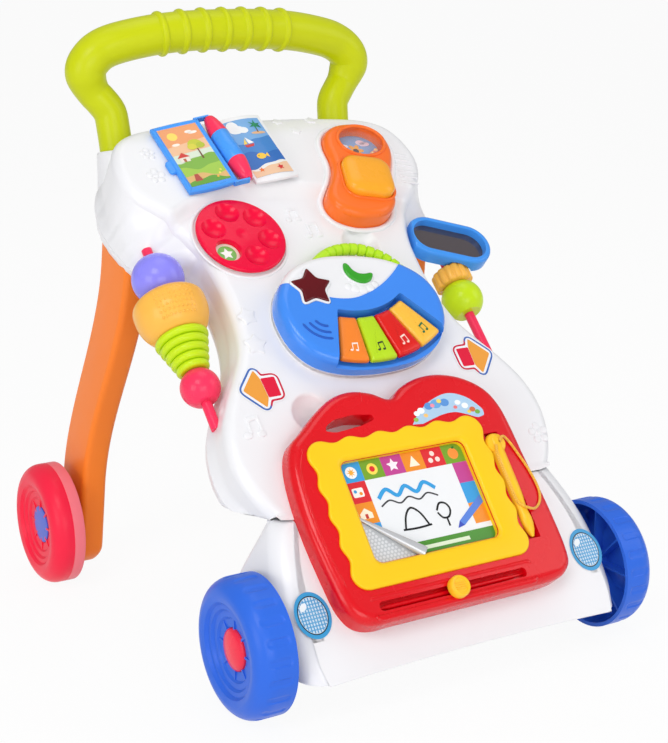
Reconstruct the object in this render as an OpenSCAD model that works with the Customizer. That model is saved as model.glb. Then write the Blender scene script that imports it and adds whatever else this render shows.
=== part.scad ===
// Push-along baby walker with an activity panel: a curved white panel on four
// wheels, a push handle, two legs, bead strings, a mirror, a flip book, a bead
// window with a press button, a dial, a lift-off music box and a lift-off
// drawing tablet. Millimetres, +Z up, the face looks towards -Y.

/* [Face] */
// Radius of the gentle curve of the face, seen from the side
face_r = 1540; // [1200:10:2400]
// Slope of the face at its middle, in degrees
face_slope = 45; // [43:0.5:47]
// Wall thickness of the white mouldings
wall = 2.6; // [1.8:0.1:3.2]
// Radius that rounds the front edge of the panel
edge_r = 8; // [5:0.5:10]
// Depth of the front moulding at the lobes
front_depth = 33; // [28:1:38]
// Depth of the front moulding at the head
head_depth = 44; // [38:1:48]
// Depth of the rear cover tray
tray_depth = 14; // [10:1:16]
// How far the head stands above the face
head_raise = 8; // [4:0.5:10]
// Gap left between white mouldings
seam = 0.3; // [0.2:0.05:0.5]

/* [Base] */
// Half width of the base at the front axle
base_half = 138; // [130:1:140]
// Height of the base above the floor
base_clear = 36.5; // [33:0.5:40]
// Depth of the base from front to back
base_depth = 112; // [100:1:116]
// Radius of the base's front corners at the bottom
base_corner = 24; // [18:1:30]
// How much lower the base's bottom edge is at its ends
base_arch = 3.5; // [0:0.5:5]

/* [Wheels] */
// Radius of the wheels
wheel_r = 49.4; // [45:0.1:52]
// Distance between the axles
wheelbase = 300.6; // [290:0.1:310]
// Width of a front wheel
front_wheel_w = 29; // [26:0.5:32]
// Width of a rear wheel
rear_wheel_w = 26; // [23:0.5:30]
// Inner rim of the front wheels from the middle
front_track = 141.5; // [141:0.5:146]
// Inner rim of the rear wheels from the middle
rear_track = 165.3; // [163:0.1:170]
// Radius of the axles
axle_r = 3; // [2.5:0.1:4]
// Radial running clearance on axles, rods and pins
run_clear = 0.06; // [0.02:0.01:0.1]
// Radius of the hub caps
cap_r = 15; // [12:0.5:16]

/* [Legs and handle] */
// Thickness of a leg from side to side
leg_t = 21; // [17:0.5:22]
// Width of a leg from front to back at its foot
leg_w = 47; // [40:1:49]
// How much wider a leg is at its top
leg_widen = 4; // [0:0.5:6]
// Clearance round the leg in its socket
leg_clear = 0.5; // [0.3:0.1:0.8]
// Radius of the push handle's tube
handle_r = 16.3; // [14:0.1:17.5]
// Radius of the push handle at its necks
neck_r = 13.4; // [11:0.1:14]
// Height of the handle's axis at its middle
handle_top = 444.5; // [435:0.5:455]
// Radial height of the grip rings
ring_h = 2; // [1:0.5:3]
// Number of grip rings
ring_n = 7; // [3:2:9]
// Spacing of the grip rings
ring_pitch = 18.3; // [14:0.1:20]

/* [Bead strings] */
// Rod distance from the middle
rod_x = 127; // [125:0.5:130]
// Rod radius
rod_r = 4; // [3:0.5:5]
// Radius of the round bead
ball_r = 20; // [17:0.5:20.5]
// Radius of the barrel bead
barrel_r = 28; // [24:0.5:28.5]
// Length of the barrel bead
barrel_l = 34; // [30:1:37]
// Radius of the cone bead's widest rib
cone_r = 20.5; // [18:0.5:22]
// Length of the cone bead
cone_l = 31; // [27:1:33]
// Radius of the small bead
small_r = 15; // [12:0.5:16]
// Radius of the notched bead on the right
gear_r = 16; // [14:0.5:17]
// Radius of the ball on the right
lime_r = 17; // [14:0.5:17.5]
// Half length of the mirror frame's straight part
mirror_half = 17; // [14:1:20]
// Radius of the mirror frame's round ends
mirror_r = 20; // [17:0.5:21]
// Depth of the mirror frame
mirror_t = 13; // [9:0.5:14]

/* [Head] */
// Radius of the book's roller
roller_r = 8; // [6:0.5:8.5]
// Width of a book page
page_w = 42; // [36:1:44]
// Height of a book page
page_h = 71; // [60:1:72]
// Thickness of the flipping page
page_t = 4; // [3:0.5:5]
// Height of the horn housing above the face
horn_h = 16; // [13:0.5:18]
// Side of the square horn button
button_w = 42; // [38:1:46]
// How far the horn button stands above its housing
button_h = 9; // [7:0.5:11]
// Travel of the horn button
button_travel = 4; // [2:0.5:5]
// Radius of the dial
dial_r = 36; // [32:0.5:37]
// Thickness of the dial
dial_t = 5; // [4:0.5:7]

/* [Music box] */
// Height of the music box
music_h = 20; // [19:0.5:23]
// Radius of the keys' inner ends from their fan centre
key_r0 = 66; // [64:0.5:70]
// Radius of the keys' outer ends from their fan centre
key_r1 = 105; // [98:0.5:106]
// Angle from one key to the next
key_pitch = 13.5; // [11:0.25:13.5]
// Travel of a key
key_travel = 2.5; // [1.5:0.25:3]
// Radius of the carry handle's tube
carry_r = 4.8; // [4.5:0.1:7]

/* [Tablet] */
// Height of the tablet's red case
tablet_h = 16; // [15:0.5:19]
// Wall thickness of the tablet and the music box
thin = 2.2; // [1.8:0.1:2.6]
// Height of the yellow frame on the case
frame_t = 2.5; // [1.5:0.5:4]
// Width of the screen window
window_w = 105; // [90:1:110]
// Height of the screen window
window_h = 77; // [66:1:82]
// Radius of the eraser's knob
knob_r = 8.7; // [7:0.1:9.5]
// Length of the eraser's slot
slot_l = 118; // [100:1:122]
// Radius of the pen's barrel
pen_r = 5.4; // [4.5:0.1:6]
// Length of the pen
pen_l = 83; // [76:1:84]
// Diameter of the pen's cord
cord_d = 2; // [1.5:0.1:2.4]

/* [Hidden] */
deg = 180 / PI;
gap = 0.3;
eps = 0.01;

// The middle between the axles, which stands the whole part centred on its
// origin, and the height and depth of the middle of the face
axle_mid = 3.8;
mid_y = axle_mid - 55;
mid_z = 212.5;
arc_y = mid_y + face_r * sin(face_slope);
arc_z = mid_z - face_r * cos(face_slope);

// Slope of the face at arc length s above its middle, and the point that lies
// x to the side, s along the face and h above it.
function slope_at(s) = face_slope - s / face_r * deg;
function on(x, s, h = 0) = [x, arc_y - (face_r + h) * sin(slope_at(s)),
    arc_z + (face_r + h) * cos(slope_at(s))];
module at_face(x, s, h = 0) {
    translate(on(x, s, h)) rotate([slope_at(s), 0, 0]) children();
}

// Smooth closed or open curves through a few points.
function cr(a, b, c, d, t) = 0.5 * ((2 * b) + (c - a) * t + (2 * a - 5 * b + 4 * c - d) * t * t
    + (3 * b - a - 3 * c + d) * t * t * t);
function smooth_closed(p, k) = let(n = len(p))
    [for (i = [0:n - 1]) for (j = [0:k - 1])
        cr(p[(i + n - 1) % n], p[i], p[(i + 1) % n], p[(i + 2) % n], j / k)];
function smooth_open(p, k) = let(n = len(p))
    concat([for (i = [0:n - 2]) for (j = [0:k - 1])
        cr(p[max(i - 1, 0)], p[i], p[i + 1], p[min(i + 2, n - 1)], j / k)], [p[n - 1]]);
function step(a, b, t) = let(u = min(1, max(0, (t - a) / (b - a)))) u * u * (3 - 2 * u);
// Value at t of a curve through [t, value] knots, straight between them.
function along(k, t) = lookup(t, k);

// Shrinks an anticlockwise outline by d along its normals.
function inset(p, d) = let(n = len(p)) [for (i = [0:n - 1])
    let(a = p[(i + n - 1) % n], b = p[(i + 1) % n], t = (b - a) / max(norm(b - a), eps))
    p[i] + d * [-t.y, t.x]];
module slab(p, h0, h1) {
    translate([0, 0, h0]) linear_extrude(height = h1 - h0) polygon(p);
}

// A closed skin over rings of equal length, each anticlockwise seen from the
// ring that follows it outside the part. The first and last ring are capped:
// mirrored rings with strips, others with one face.
function band(k, n) = [for (i = [0:n - 1]) let(j = (i + 1) % n, a = k * n, b = a + n)
    each [[a + i, b + i, b + j], [a + i, b + j, a + j]]];
function strip(k, n, flip) = [for (i = [0:n / 2 - 2]) let(a = k * n, p = a + i, q = a + i + 1,
    r = a + n - 2 - i, s = a + n - 1 - i)
    each (flip ? [[p, q, r], [p, r, s]] : [[p, r, q], [p, s, r]])];
function fan(k, n, flip) = let(a = k * n, m = floor(n / 2))
    [for (i = [0:n - 1]) let(j = (i + 1) % n) if (i != m && j != m)
        flip ? [a + m, a + i, a + j] : [a + m, a + j, a + i]];
module skin(rings, mirrored = true) {
    n = len(rings[0]);
    m = len(rings);
    polyhedron(points = [for (r = rings) each r],
        faces = concat([for (k = [0:m - 2]) each band(k, n)],
            mirrored ? strip(0, n, true) : fan(0, n, true),
            mirrored ? strip(m - 1, n, false) : fan(m - 1, n, false)), convexity = 10);
}

// Outline of the panel, right side from the bottom to the top, as [x, s].
panel_bottom = -117;
panel_knots = [[40, panel_bottom], [108, panel_bottom], [118, -114], [127, -101], [134, -82],
    [136, -62], [132, -40], [122, -19], [109, 1], [98, 20], [92, 42], [90, 65], [91, 90], [92.5, 101],
    [94.5, 109], [96.5, 115], [99, 121], [103, 131], [111, 142], [120, 152], [129, 163], [135, 179],
        [135, 195], [131, 211], [123, 224], [111, 233],
    [95, 239], [72, 243], [44, 246], [16, 247]];
panel_right = smooth_open(panel_knots, 2);
panel_n = len(panel_right);
panel_outline = concat(panel_right, [for (i = [panel_n - 1:-1:0]) [-panel_right[i].x, panel_right[i].y]]);
// Lift of the skin above the face: the head is raised and rolls off at the top.
head_s = 160;
function lift(s) = head_raise * step(head_s - 6, head_s + 8, s) - 7 * pow(max(0, s - 215) / 32, 2);
function front_d(s) = front_depth + (head_depth - front_depth) * step(120, 190, s)
    - 12 * step(-80, panel_bottom, s);
flare = 3;
// The pods that hold the legs stand out from the head's sides, behind the face.
pod_w = 33;
pod_knots = [[100, 0], [109, 0.12], [116, 0.6], [121, 0.95], [131, 1], [142, 0.82], [152, 0.57], [163, 0.3],
    [179, 0.1], [195, 0]];
pod_deep = 0.72;
// The panel's lower end stands on the flat top of the base, its inner skin
// higher by up.
function seat(p, up) = [p.x, p.y, max(p.z, base_top + seam + up)];
function outline_at(q) = [for (p = panel_outline) [p.x + sign(p.x) * q * pod_w * along(pod_knots, p.y), p.y]];
function panel_ring(d, h, up = 0) = [for (p = inset(panel_outline, d)) seat(on(p.x, p.y, h + lift(p.y)), up)];
function pod_ring(d, up = 0) = [for (p = inset(outline_at(1), d))
    seat(on(p.x, p.y, -pod_deep * front_d(p.y)), up)];
function back_ring(d, deep, up = 0) = [for (p = inset(outline_at(1), d))
    seat(on(p.x, p.y, -front_d(p.y) - deep), up)];

// Peanut outline of the horn housing.
horn_knots = [[58, 117], [72, 119], [84, 128], [90, 142], [93, 153], [99, 166], [107, 181], [110, 195],
    [107, 208], [97, 217], [82, 220], [66, 218], [54, 209], [49, 196], [48, 183], [45, 172], [38, 160],
    [30, 149], [27, 138], [31, 127], [44, 119]];
horn_outline = smooth_closed(horn_knots, 3);
horn_s = 168;
horn_local = [for (p = horn_outline) [p.x, p.y - horn_s]];
window_pos = [83, 197];
window_a = 21;
window_b = 17;
button_pos = [68, 154.5];
button_turn = -14;

dial_pos = [-58, 119];
dial_pin_r = 5;
book_pos = [-40, 198];
book_turn = 5;
roller_h = head_raise + roller_r + 0.4;
roller_l = page_h - 1;
peg_r = 2;

// Handle centre line, right half from the socket to the middle.
foot = [102.5, axle_mid + 152, 322];
foot_lean = 11;
// Height of the handle's bend against its height in the real walker.
rise = (handle_top - foot.z) / 122.5;
handle_half = [for (p = [[0, 0, 0], [0, 4.5, 23], [0.9, 9.2, 47], [2.4, 11.5, 59], [8.7, 13.5, 68.4],
    [13.7, 15.3, 74.5], [18.4, 15.6, 83.5], [20.7, 14.5, 92.7], [16.5, 13.5, 101], [7, 13.5, 108.5]])
    foot + [p.x, p.y, p.z * rise]];
handle_grip = [for (p = [[94, 163.5, -8.5], [64, 160.5, -3], [32, 158.5, -0.5]])
    [p.x, axle_mid + p.y, handle_top + p.z]];
handle_right = concat(handle_half, handle_grip);
handle_bends = concat(handle_right, [[0, axle_mid + 158, handle_top]],
    [for (i = [len(handle_right) - 1:-1:0]) [-handle_right[i].x, handle_right[i].y, handle_right[i].z]]);
handle_last = len(handle_bends) - 1;
// The path is closely spaced where the grip has its ridges.
handle_path = concat([for (i = [0:handle_last - 1])
    let(n = abs(handle_bends[i].x + handle_bends[i + 1].x) / 2 < 60 ? 24 : 3) for (j = [0:n - 1])
    cr(handle_bends[max(i - 1, 0)], handle_bends[i], handle_bends[i + 1],
        handle_bends[min(i + 2, handle_last)], j / n)], [handle_bends[handle_last]]);
ridge_half = 2.6;
function ridge(x) = let(k = (x - ring_mid) / ring_pitch, near = (k - round(k)) * ring_pitch)
    abs(k) > ring_n / 2 ? 0 : ring_h * sqrt(max(0, 1 - pow(near / ridge_half, 2)));
collar_t = 2.4;
collar_l = 29;
socket_drop = 2;
ring_mid = -5.8;
module at_foot(side) {
    translate([side * foot.x, foot.y, foot.z]) rotate([-foot_lean, 0, 0]) children();
}

// Legs: centre line at height z.
leg_bottom = 15;
leg_top = 288;
leg_inset = 14.3;
leg_room = 1.5;
leg_head_x = 127;
leg_foot_x = rear_track - leg_inset;
leg_splay = (leg_foot_x - leg_head_x) / 270;
leg_top_y = axle_mid + 90;
front_axle_y = axle_mid - wheelbase / 2;
rear_axle_y = axle_mid + wheelbase / 2;
function leg_y(z) = leg_top_y + (rear_axle_y - leg_top_y) * step(271, 81, z);
function leg_x(z) = leg_foot_x - (z - leg_bottom) * leg_splay;
leg_corner = 5;

// Bead rods: height over the floor at y = 0, slope, and ends along the rod.
rod_z = 235;
rod_slope = 45.5;
rod_low = -84;
rod_high = 74;
module along_rod(side, t) {
    translate([side * rod_x, axle_mid, rod_z]) rotate([rod_slope - 90, 0, 0]) translate([0, 0, t]) children();
}
mirror_pos = [127, 97];
mirror_turn = -22;

music_pos = [6, 31];
music_knots = [[6, -20], [35, -17], [57, -7], [71, 10], [76, 30], [73, 47], [63, 61], [45, 73], [20, 80],
    [-10, 82], [-35, 76], [-52, 63], [-62, 46], [-64, 28], [-60, 9], [-48, -7], [-25, -17]];
music_outline = [for (p = smooth_closed(music_knots, 4)) p - music_pos];
deck_edge = [for (p = smooth_open([[-62, 66], [-44, 56], [-25, 44], [-4, 39], [14, 42], [30, 49], [45, 59],
    [60, 72]], 3)) p - music_pos];
deck_outline = concat(deck_edge, [[70, 70], [-76, 70]]);
key_centre = [4, 90] - music_pos;
key_fan = 7.2;
key_floor = 9;
pocket_low = 6.8;
shelf_h = 11.5;
key_low = key_floor + key_travel + 0.4;
key_top = music_h - 2.5;
stem_r = 3;
board_h = 3.5;
board_t = 1.6;
pad_t = 0.6;
stem_low = board_h + board_t + pad_t + key_travel + gap;
star_pos = [-31.5, 52.5] - music_pos;
star_r = 16;
star_f = 0.55;
star_turn = 84;
crescent_pos = [13, 61] - music_pos;
battery_r = 5.25;
battery_l = 44.5;
battery_pos = [-2, 58.5] - music_pos;

tablet_pos = [-8, -118];
tablet_knots = [[-60, -205], [20, -205], [68, -204.5], [85, -199], [91, -186], [91.5, -150], [89, -110],
    [88, -85], [86, -66], [79, -50], [64, -38], [45, -31.5], [25, -31.5], [8, -37], [-5, -45],
    [-18, -38], [-35, -34], [-52, -37], [-68, -46], [-84, -58], [-96, -67], [-103, -82],
    [-106.5, -105], [-107, -135], [-104, -170], [-101, -188], [-94, -200], [-81, -205]];
tablet_outline = [for (p = smooth_closed(tablet_knots, 3)) p - tablet_pos];
back_t = 3;
screen_t = 1.8;
frame_x0 = -90;
frame_x1 = 59;
frame_y0 = -182;
frame_y1 = -70;
window_mid = [-14.5, -126.5] - tablet_pos;
slot_mid = [-15, -194.5] - tablet_pos;
slot_w = 11;
knob_x = 1.5;
pen_x = 65 - tablet_pos.x;
pen_top = -88 - tablet_pos.y;
pen_h = tablet_h - 1;
cord_route = [[74.5, 22, 20.6], [77.5, 25, 20.4], [80.5, 25.5, 19.6], [83.5, 23, 18.2], [86, 18.5, 17.4],
    [88, 12, 17.2], [90, 5, 17.2], [91.6, -2, 17.2], [92.8, -9, 17.2], [93.3, -16, 17.2], [92.6, -22, 17.2],
    [90.4, -27.2, 17.2], [86.8, -31, 17.4], [82.5, -33, 18], [78.5, -33, 19.6], [74.8, -31.8, 20.6],
    [71.4, -29.5, 20.4], [69, -25.5, 19.8], [68.2, -20, 19.6], [68.2, -12, 19.6], [68.2, -4, 19.6],
    [68.2, 4, 19.6], [68.3, 10, 19.8], [68.8, 15.5, 20.5], [70.3, 20, 20.6]];

// ---------------------------------------------------------------- white shell
module front_panel() {
    color("whitesmoke") difference() {
        union() {
            skin([panel_ring(edge_r * 0.6 + wall * 0.6, -wall - 1, wall), panel_ring(wall, -edge_r, wall),
                pod_ring(wall, wall), back_ring(wall - flare, 0, wall), back_ring(-flare, 0), pod_ring(0),
                panel_ring(0, -edge_r),
                panel_ring(edge_r * 0.13, -edge_r * 0.5), panel_ring(edge_r * 0.5, -edge_r * 0.13),
                panel_ring(edge_r, 0)]);
            for (p = screw_points) at_face(p.x, p.y, -front_d(p.y))
                cylinder(r = 4.5, h = front_d(p.y) + lift(p.y) - 1.5, $fn = 32);
            for (p = [pit_1, pit_2]) at_face(p.x, p.y, pit_up) difference() {
                sphere(r = pit_r + wall, $fn = 48);
                translate([-pit_r * 2, -pit_r * 2, -pit_up - 1]) cube(pit_r * 4);
            }
        }
        ball_room();
        for (p = screw_points) at_face(p.x, p.y, -front_d(p.y) - 1) cylinder(r = 1.3, h = 14, $fn = 24);
        for (side = [-1, 1]) {
            leg_prism(side, leg_clear);
            at_foot(side) translate([0, 0, -14])
                cylinder(r = collar_r + collar_flare + seam, h = 80, $fn = 64);
            rod_hole(side);
        }
        at_face(0, horn_s, 0) slab(inset(horn_local, -gap), -14, 30);
        at_face(dial_pos.x, dial_pos.y, -8) cylinder(r = dial_pin_r + run_clear, h = 20, $fn = 48);
        at_face(pit_1.x, pit_1.y, pit_up) sphere(r = pit_r, $fn = 48);
        at_face(pit_2.x, pit_2.y, pit_up) sphere(r = pit_r, $fn = 48);
    }
}
// The hollow in the left pod that the round bead turns in.
module ball_room() {
    along_rod(-1, ball_t) sphere(r = ball_r + 2 * gap, $fn = 64);
}
screw_points = [[100, -80], [-100, -80], [78, 60], [-78, 60], [60, 228], [-60, 228]];
collar_r = neck_r + gap + collar_t;
collar_flare = 3;
pit_1 = [-62, -40];
pit_2 = [44, 103];
pit_r = 20;
pit_up = 12;

module rod_hole(side) {
    along_rod(side, rod_low - 4) cylinder(r = rod_r + gap, h = rod_high - rod_low + 8, $fn = 32);
}

module leg_prism(side, g) {
    lean = atan(leg_splay);
    translate([side * leg_x(leg_top), leg_top_y, leg_top + g + leg_room]) rotate([0, side * (180 - lean), 0])
        linear_extrude(height = 75) rounded_box(leg_t + 2 * g, leg_w + leg_widen + 2 * g, leg_corner);
}
module rounded_box(w, d, r) {
    polygon(rounded_points(w, d, r, 6));
}
function rounded_points(w, d, r, k) = [for (q = [0:3]) for (j = [0:k])
    let(a = q * 90 + j * 90 / k, c = [(q == 0 || q == 3) ? w / 2 - r : r - w / 2,
        q < 2 ? d / 2 - r : r - d / 2])
    c + r * [cos(a), sin(a)]];

module rear_cover() {
    color("whitesmoke") difference() {
        union() {
            skin([back_ring(7, seam + tray_depth), back_ring(1 - flare, seam + tray_depth * 0.7),
                back_ring(-flare, seam), back_ring(wall - flare, seam, wall),
                back_ring(wall + 1 - flare, seam + tray_depth * 0.6, wall),
                back_ring(7, seam + tray_depth - wall, wall)]);
            for (side = [-1, 1]) at_foot(side) translate([0, 0, -socket_drop - wall])
                cylinder(r1 = collar_r + collar_flare, r2 = collar_r, h = collar_l + socket_drop + wall,
                    $fn = 64);
        }
        for (side = [-1, 1]) {
            at_foot(side) translate([0, 0, -socket_drop]) cylinder(r = neck_r + gap, h = 80, $fn = 64);
            leg_prism(side, leg_clear);
        }
        for (p = screw_points) at_face(p.x, p.y, -front_d(p.y) - tray_depth - 2)
            cylinder(r = 1.8, h = 20, $fn = 24);
        ball_room();
    }
}

// ---------------------------------------------------------------- base
base_top = arc_z + face_r * cos(slope_at(panel_bottom)) - 1;
base_front = on(0, -232, 0).y;
base_back = base_front + base_depth;
function face_y(z, h) = arc_y - sqrt(pow(face_r + h, 2) - pow(z - arc_z, 2));
function base_w(z) = base_half - 18 * pow(max(0, (z - 75) / (base_top - 75)), 1.6)
    - 3 * step(50, base_clear, z);
function base_ring(z, g) = let(w = base_w(z) - g, f = face_y(z, -g), k = 6,
    b = base_back - g - 22 * step(50, base_top, z),
    r = max(6, base_corner - 8 * step(base_clear, base_top, z) - g),
    corners = [for (q = [0:3]) for (j = [0:k]) let(a = -90 + q * 90 + j * 90 / k, rr = q % 3 == 0 ? r : 8,
        c = [q < 2 ? w - rr : rr - w, (q == 1 || q == 2) ? b - rr : f + rr]) c + rr * [cos(a), sin(a)]])
    [for (p = concat(corners, [for (t = [-0.6:0.3:0.6]) [t * w, f]]))
        [p.x, p.y, z - base_arch * step(60, base_clear, z) * pow(p.x / w, 2)]];
base_levels = [base_clear, base_clear + 2, 45, 60, 75, 90, 105, 117, base_top];
module base_shell() {
    n = len(base_levels);
    color("whitesmoke") difference() {
        union() {
            skin(concat([base_ring(base_top - wall, wall)],
                [for (i = [n - 2:-1:0]) base_ring(base_levels[i], wall)],
                [for (i = [0:n - 1]) base_ring(base_levels[i], i == 0 ? 0.8 : 0)],
                [base_ring(base_top + 0.1, 1)]), false);
            for (side = [-1, 1]) translate([side * (base_half - 14), front_axle_y, wheel_r])
                rotate([0, side * 90, 0])
                cylinder(r = 10, h = front_track - base_half + 14 + 1.5, $fn = 48);
        }
        translate([-200, front_axle_y, wheel_r]) rotate([0, 90, 0]) cylinder(r = axle_r, h = 400, $fn = 48);
    }
}
module base_cover() {
    color("whitesmoke") difference() {
        slab_ring(base_ring(base_clear + 1.5, wall + 6 * gap), base_clear + 0.5, base_clear + 3);
        for (x = [-80, 80]) translate([x, base_back - 30, 0]) cylinder(r = 1.8, h = 60, $fn = 24);
    }
    color("whitesmoke") for (x = [-60, 60]) difference() {
        translate([x - 3, front_axle_y - 8, base_clear + 3]) cube([6, 16, wheel_r - base_clear - 3]);
        translate([x - 4, front_axle_y, wheel_r]) rotate([0, 90, 0])
            cylinder(r = axle_r + 0.02, h = 8, $fn = 48);
    }
}
module slab_ring(r, z0, z1) {
    translate([0, 0, z0]) linear_extrude(height = z1 - z0) polygon([for (p = r) [p.x, p.y]]);
}

// ---------------------------------------------------------------- handle and legs
function tube_ring(p, t, r, n) = let(u = [0, 1, 0] - t * t.y, v = u / norm(u), w = cross(t, v))
    [for (i = [0:n - 1]) p + r * (cos(360 * i / n) * v + sin(360 * i / n) * w)];
module handle() {
    n = len(handle_path);
    color("yellowgreen") {
        skin([for (i = [0:n - 1]) let(a = handle_path[max(i - 1, 0)], b = handle_path[min(i + 1, n - 1)],
            p = handle_path[i],
            thick = neck_r + (handle_r - neck_r) * step(handle_top - 50.5, handle_top - 32.5, p.z))
            tube_ring(p, (b - a) / norm(b - a), thick + ridge(p.x), 20)], false);
    }
}

module leg(side) {
    zs = [leg_bottom, leg_bottom + 2, leg_bottom + 7, leg_bottom + 15, 45, 62, 80, 98, 116, 134, 152,
        170, 188, 206, 224, 242, 258, 274, leg_top];
    color("coral") mirror([side < 0 ? 1 : 0, 0, 0]) difference() {
        union() {
            skin([for (z = zs) let(e = pow(max(0, 1 - (z - leg_bottom) / 15), 2) * 11)
                [for (p = rounded_points(leg_t - e * 0.35,
                    leg_w + leg_widen * step(110, 240, z) - 2 * e, leg_corner, 4))
                    [leg_x(z) + p.x, leg_y(z) + p.y, z]]], false);
            translate([leg_foot_x, rear_axle_y, wheel_r]) rotate([0, 90, 0])
                cylinder(r = 10, h = rear_track + 2 - leg_foot_x, $fn = 48);
        }
        translate([leg_foot_x - leg_t / 2 + 2, rear_axle_y, wheel_r]) rotate([0, 90, 0])
            cylinder(r = axle_r, h = 60, $fn = 48);
    }
}

// ---------------------------------------------------------------- axles and wheels
hub_in = 2.5;
module on_axle(side, y, x) {
    translate([side * x, y, wheel_r]) rotate([0, side * 90, 0]) children();
}
module front_axle() {
    l = 2 * (front_track + front_wheel_w * 0.72 - 1);
    color("silver") translate([-l / 2, front_axle_y, wheel_r]) rotate([0, 90, 0])
        cylinder(r = axle_r - 0.01, h = l, $fn = 48);
}
module rear_axle(side) {
    x0 = leg_foot_x - leg_t / 2 + 2;
    color("silver") on_axle(side, rear_axle_y, x0)
        cylinder(r = axle_r - 0.01, h = rear_track + rear_wheel_w * 0.72 - 1 - x0, $fn = 48);
}
// Half section of a wheel of width w as [radius, distance from the inner rim].
function wheel_section(w, t0) = let(r = wheel_r, s = w * 0.45, c = w - s - 1)
    concat([[r, t0]], [for (a = [0:15:90]) [r - 12 + 12 * cos(a), c + (s + 1) * sin(a) * 0.97]],
    [[33.5, w * 0.95], [32, w * 0.87], [28.5, w * 0.87], [27, w * 0.8], [23, w * 0.8], [21.5, w * 0.74],
        [cap_r + gap, w * 0.72],
    [cap_r + gap, w * 0.72 - 1.5], [axle_r + run_clear, w * 0.72 - 1.5], [axle_r + run_clear, hub_in],
        [8, hub_in], [8, w * 0.72 - 4.5], [22.5, w * 0.72 - 4],
    [28, w * 0.8 - 3], [33, w * 0.87 - 2.6], [38, w * 0.9 - 2.6]],
    [for (a = [75:-15:0]) [r - 12 + 9 * cos(a), c + (s - 2.4) * sin(a) * 0.97]], [[r - 3, t0]]);
module wheel(side, y, x, w, t0, tint) {
    color(tint) on_axle(side, y, x) {
        rotate_extrude($fn = 128) polygon(wheel_section(w, t0));
        for (k = [0:7]) rotate([0, 0, k * 45]) translate([7.5, -1, w * 0.4])
            cube([wheel_r - 3.2 - 7.5 - 3.4, 2, w * 0.32 - 2.5]);
    }
}
module cap(side, y, x, w, dome, tint) {
    base = w * 0.72 - 1.5 + 0.05;
    color(tint) on_axle(side, y, x + base) rotate_extrude($fn = 64)
        polygon(concat([[0, 1.2], [axle_r + 1, 1.2], [axle_r + 1, 0], [cap_r, 0], [cap_r, 2]],
            [for (a = [15:15:90]) [cap_r * cos(a), 2 + dome * sin(a)]]));
}
module rear_ring(side) {
    color("lightpink") on_axle(side, rear_axle_y, rear_track) rotate_extrude($fn = 128)
        polygon([[wheel_r - 6, 0], [wheel_r - 1, 0], [wheel_r, 1], [wheel_r, ring_w],
            [wheel_r - 3, ring_w], [wheel_r - 6, 1.5]]);
}
ring_w = 9.5;

// ---------------------------------------------------------------- bead strings
module bead_rod(side) {
    color("deeppink") {
        along_rod(side, rod_low) cylinder(r = rod_r, h = rod_high - rod_low, $fn = 32);
    }
}
bead_bore = rod_r + run_clear;
ball_t = 47;
barrel_t = ball_t - ball_r * 0.86 - gap - barrel_l / 2;
cone_t = barrel_t - barrel_l / 2 - gap - cone_l / 2;
small_t = cone_t - cone_l / 2 - gap - small_r * 0.85;
gear_t = 14;
gear_pos = 16;
lime_pos = gear_pos - gear_t / 2 - gap - lime_r * 0.8;
// A ball cut flat at both ends, bored for the rod.
module ball_bead(side, t, r, flat, tint) {
    color(tint) along_rod(side, t) difference() {
        intersection() {
            sphere(r = r, $fn = 64);
            translate([0, 0, -r * flat]) cylinder(r = r + 1, h = 2 * r * flat, $fn = 64);
        }
        translate([0, 0, -r - 1]) cylinder(r = bead_bore, h = 2 * r + 2, $fn = 32);
    }
}
module barrel_bead() {
    h = barrel_l / 2;
    color("orange") along_rod(-1, barrel_t) rotate_extrude($fn = 96)
        polygon(concat([[bead_bore, -h], [barrel_r * 0.72, -h]],
            [for (a = [-60:15:60]) [barrel_r * (0.72 + 0.28 * cos(a * 1.5)), h * a / 64]],
            [[barrel_r * 0.72, h], [bead_bore, h]]));
}
module cone_bead() {
    ribs = 5;
    pitch = cone_l / ribs;
    color("yellowgreen") along_rod(-1, cone_t - cone_l / 2) rotate_extrude($fn = 96)
        polygon(concat([[bead_bore, 0]], [for (k = [0:ribs - 1]) for (a = [-90:30:90])
            let(r = cone_r * (0.62 + 0.38 * k / (ribs - 1)))
            [r - 3 + 3 * cos(a), pitch * (k + 0.5 + 0.499 * sin(a))]], [[bead_bore, cone_l]]));
}
module gear_bead() {
    color("orange") along_rod(1, gear_pos) difference() {
        union() {
            translate([0, 0, -gear_t / 2]) cylinder(r = gear_r - 1.5, h = gear_t, $fn = 64);
            for (k = [0:13]) rotate([0, 0, k * 360 / 14]) translate([gear_r - 2, 0, -gear_t / 2 + 1])
                cylinder(r = 2, h = gear_t - 2, $fn = 16);
        }
        translate([0, 0, -gear_t]) cylinder(r = bead_bore, h = 2 * gear_t, $fn = 32);
    }
}
function stadium(l, r, k) = [for (q = [1, -1]) for (j = [0:k]) let(a = 180 * j / k - q * 90)
    [q * l + r * cos(a), r * sin(a)]];
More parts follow.
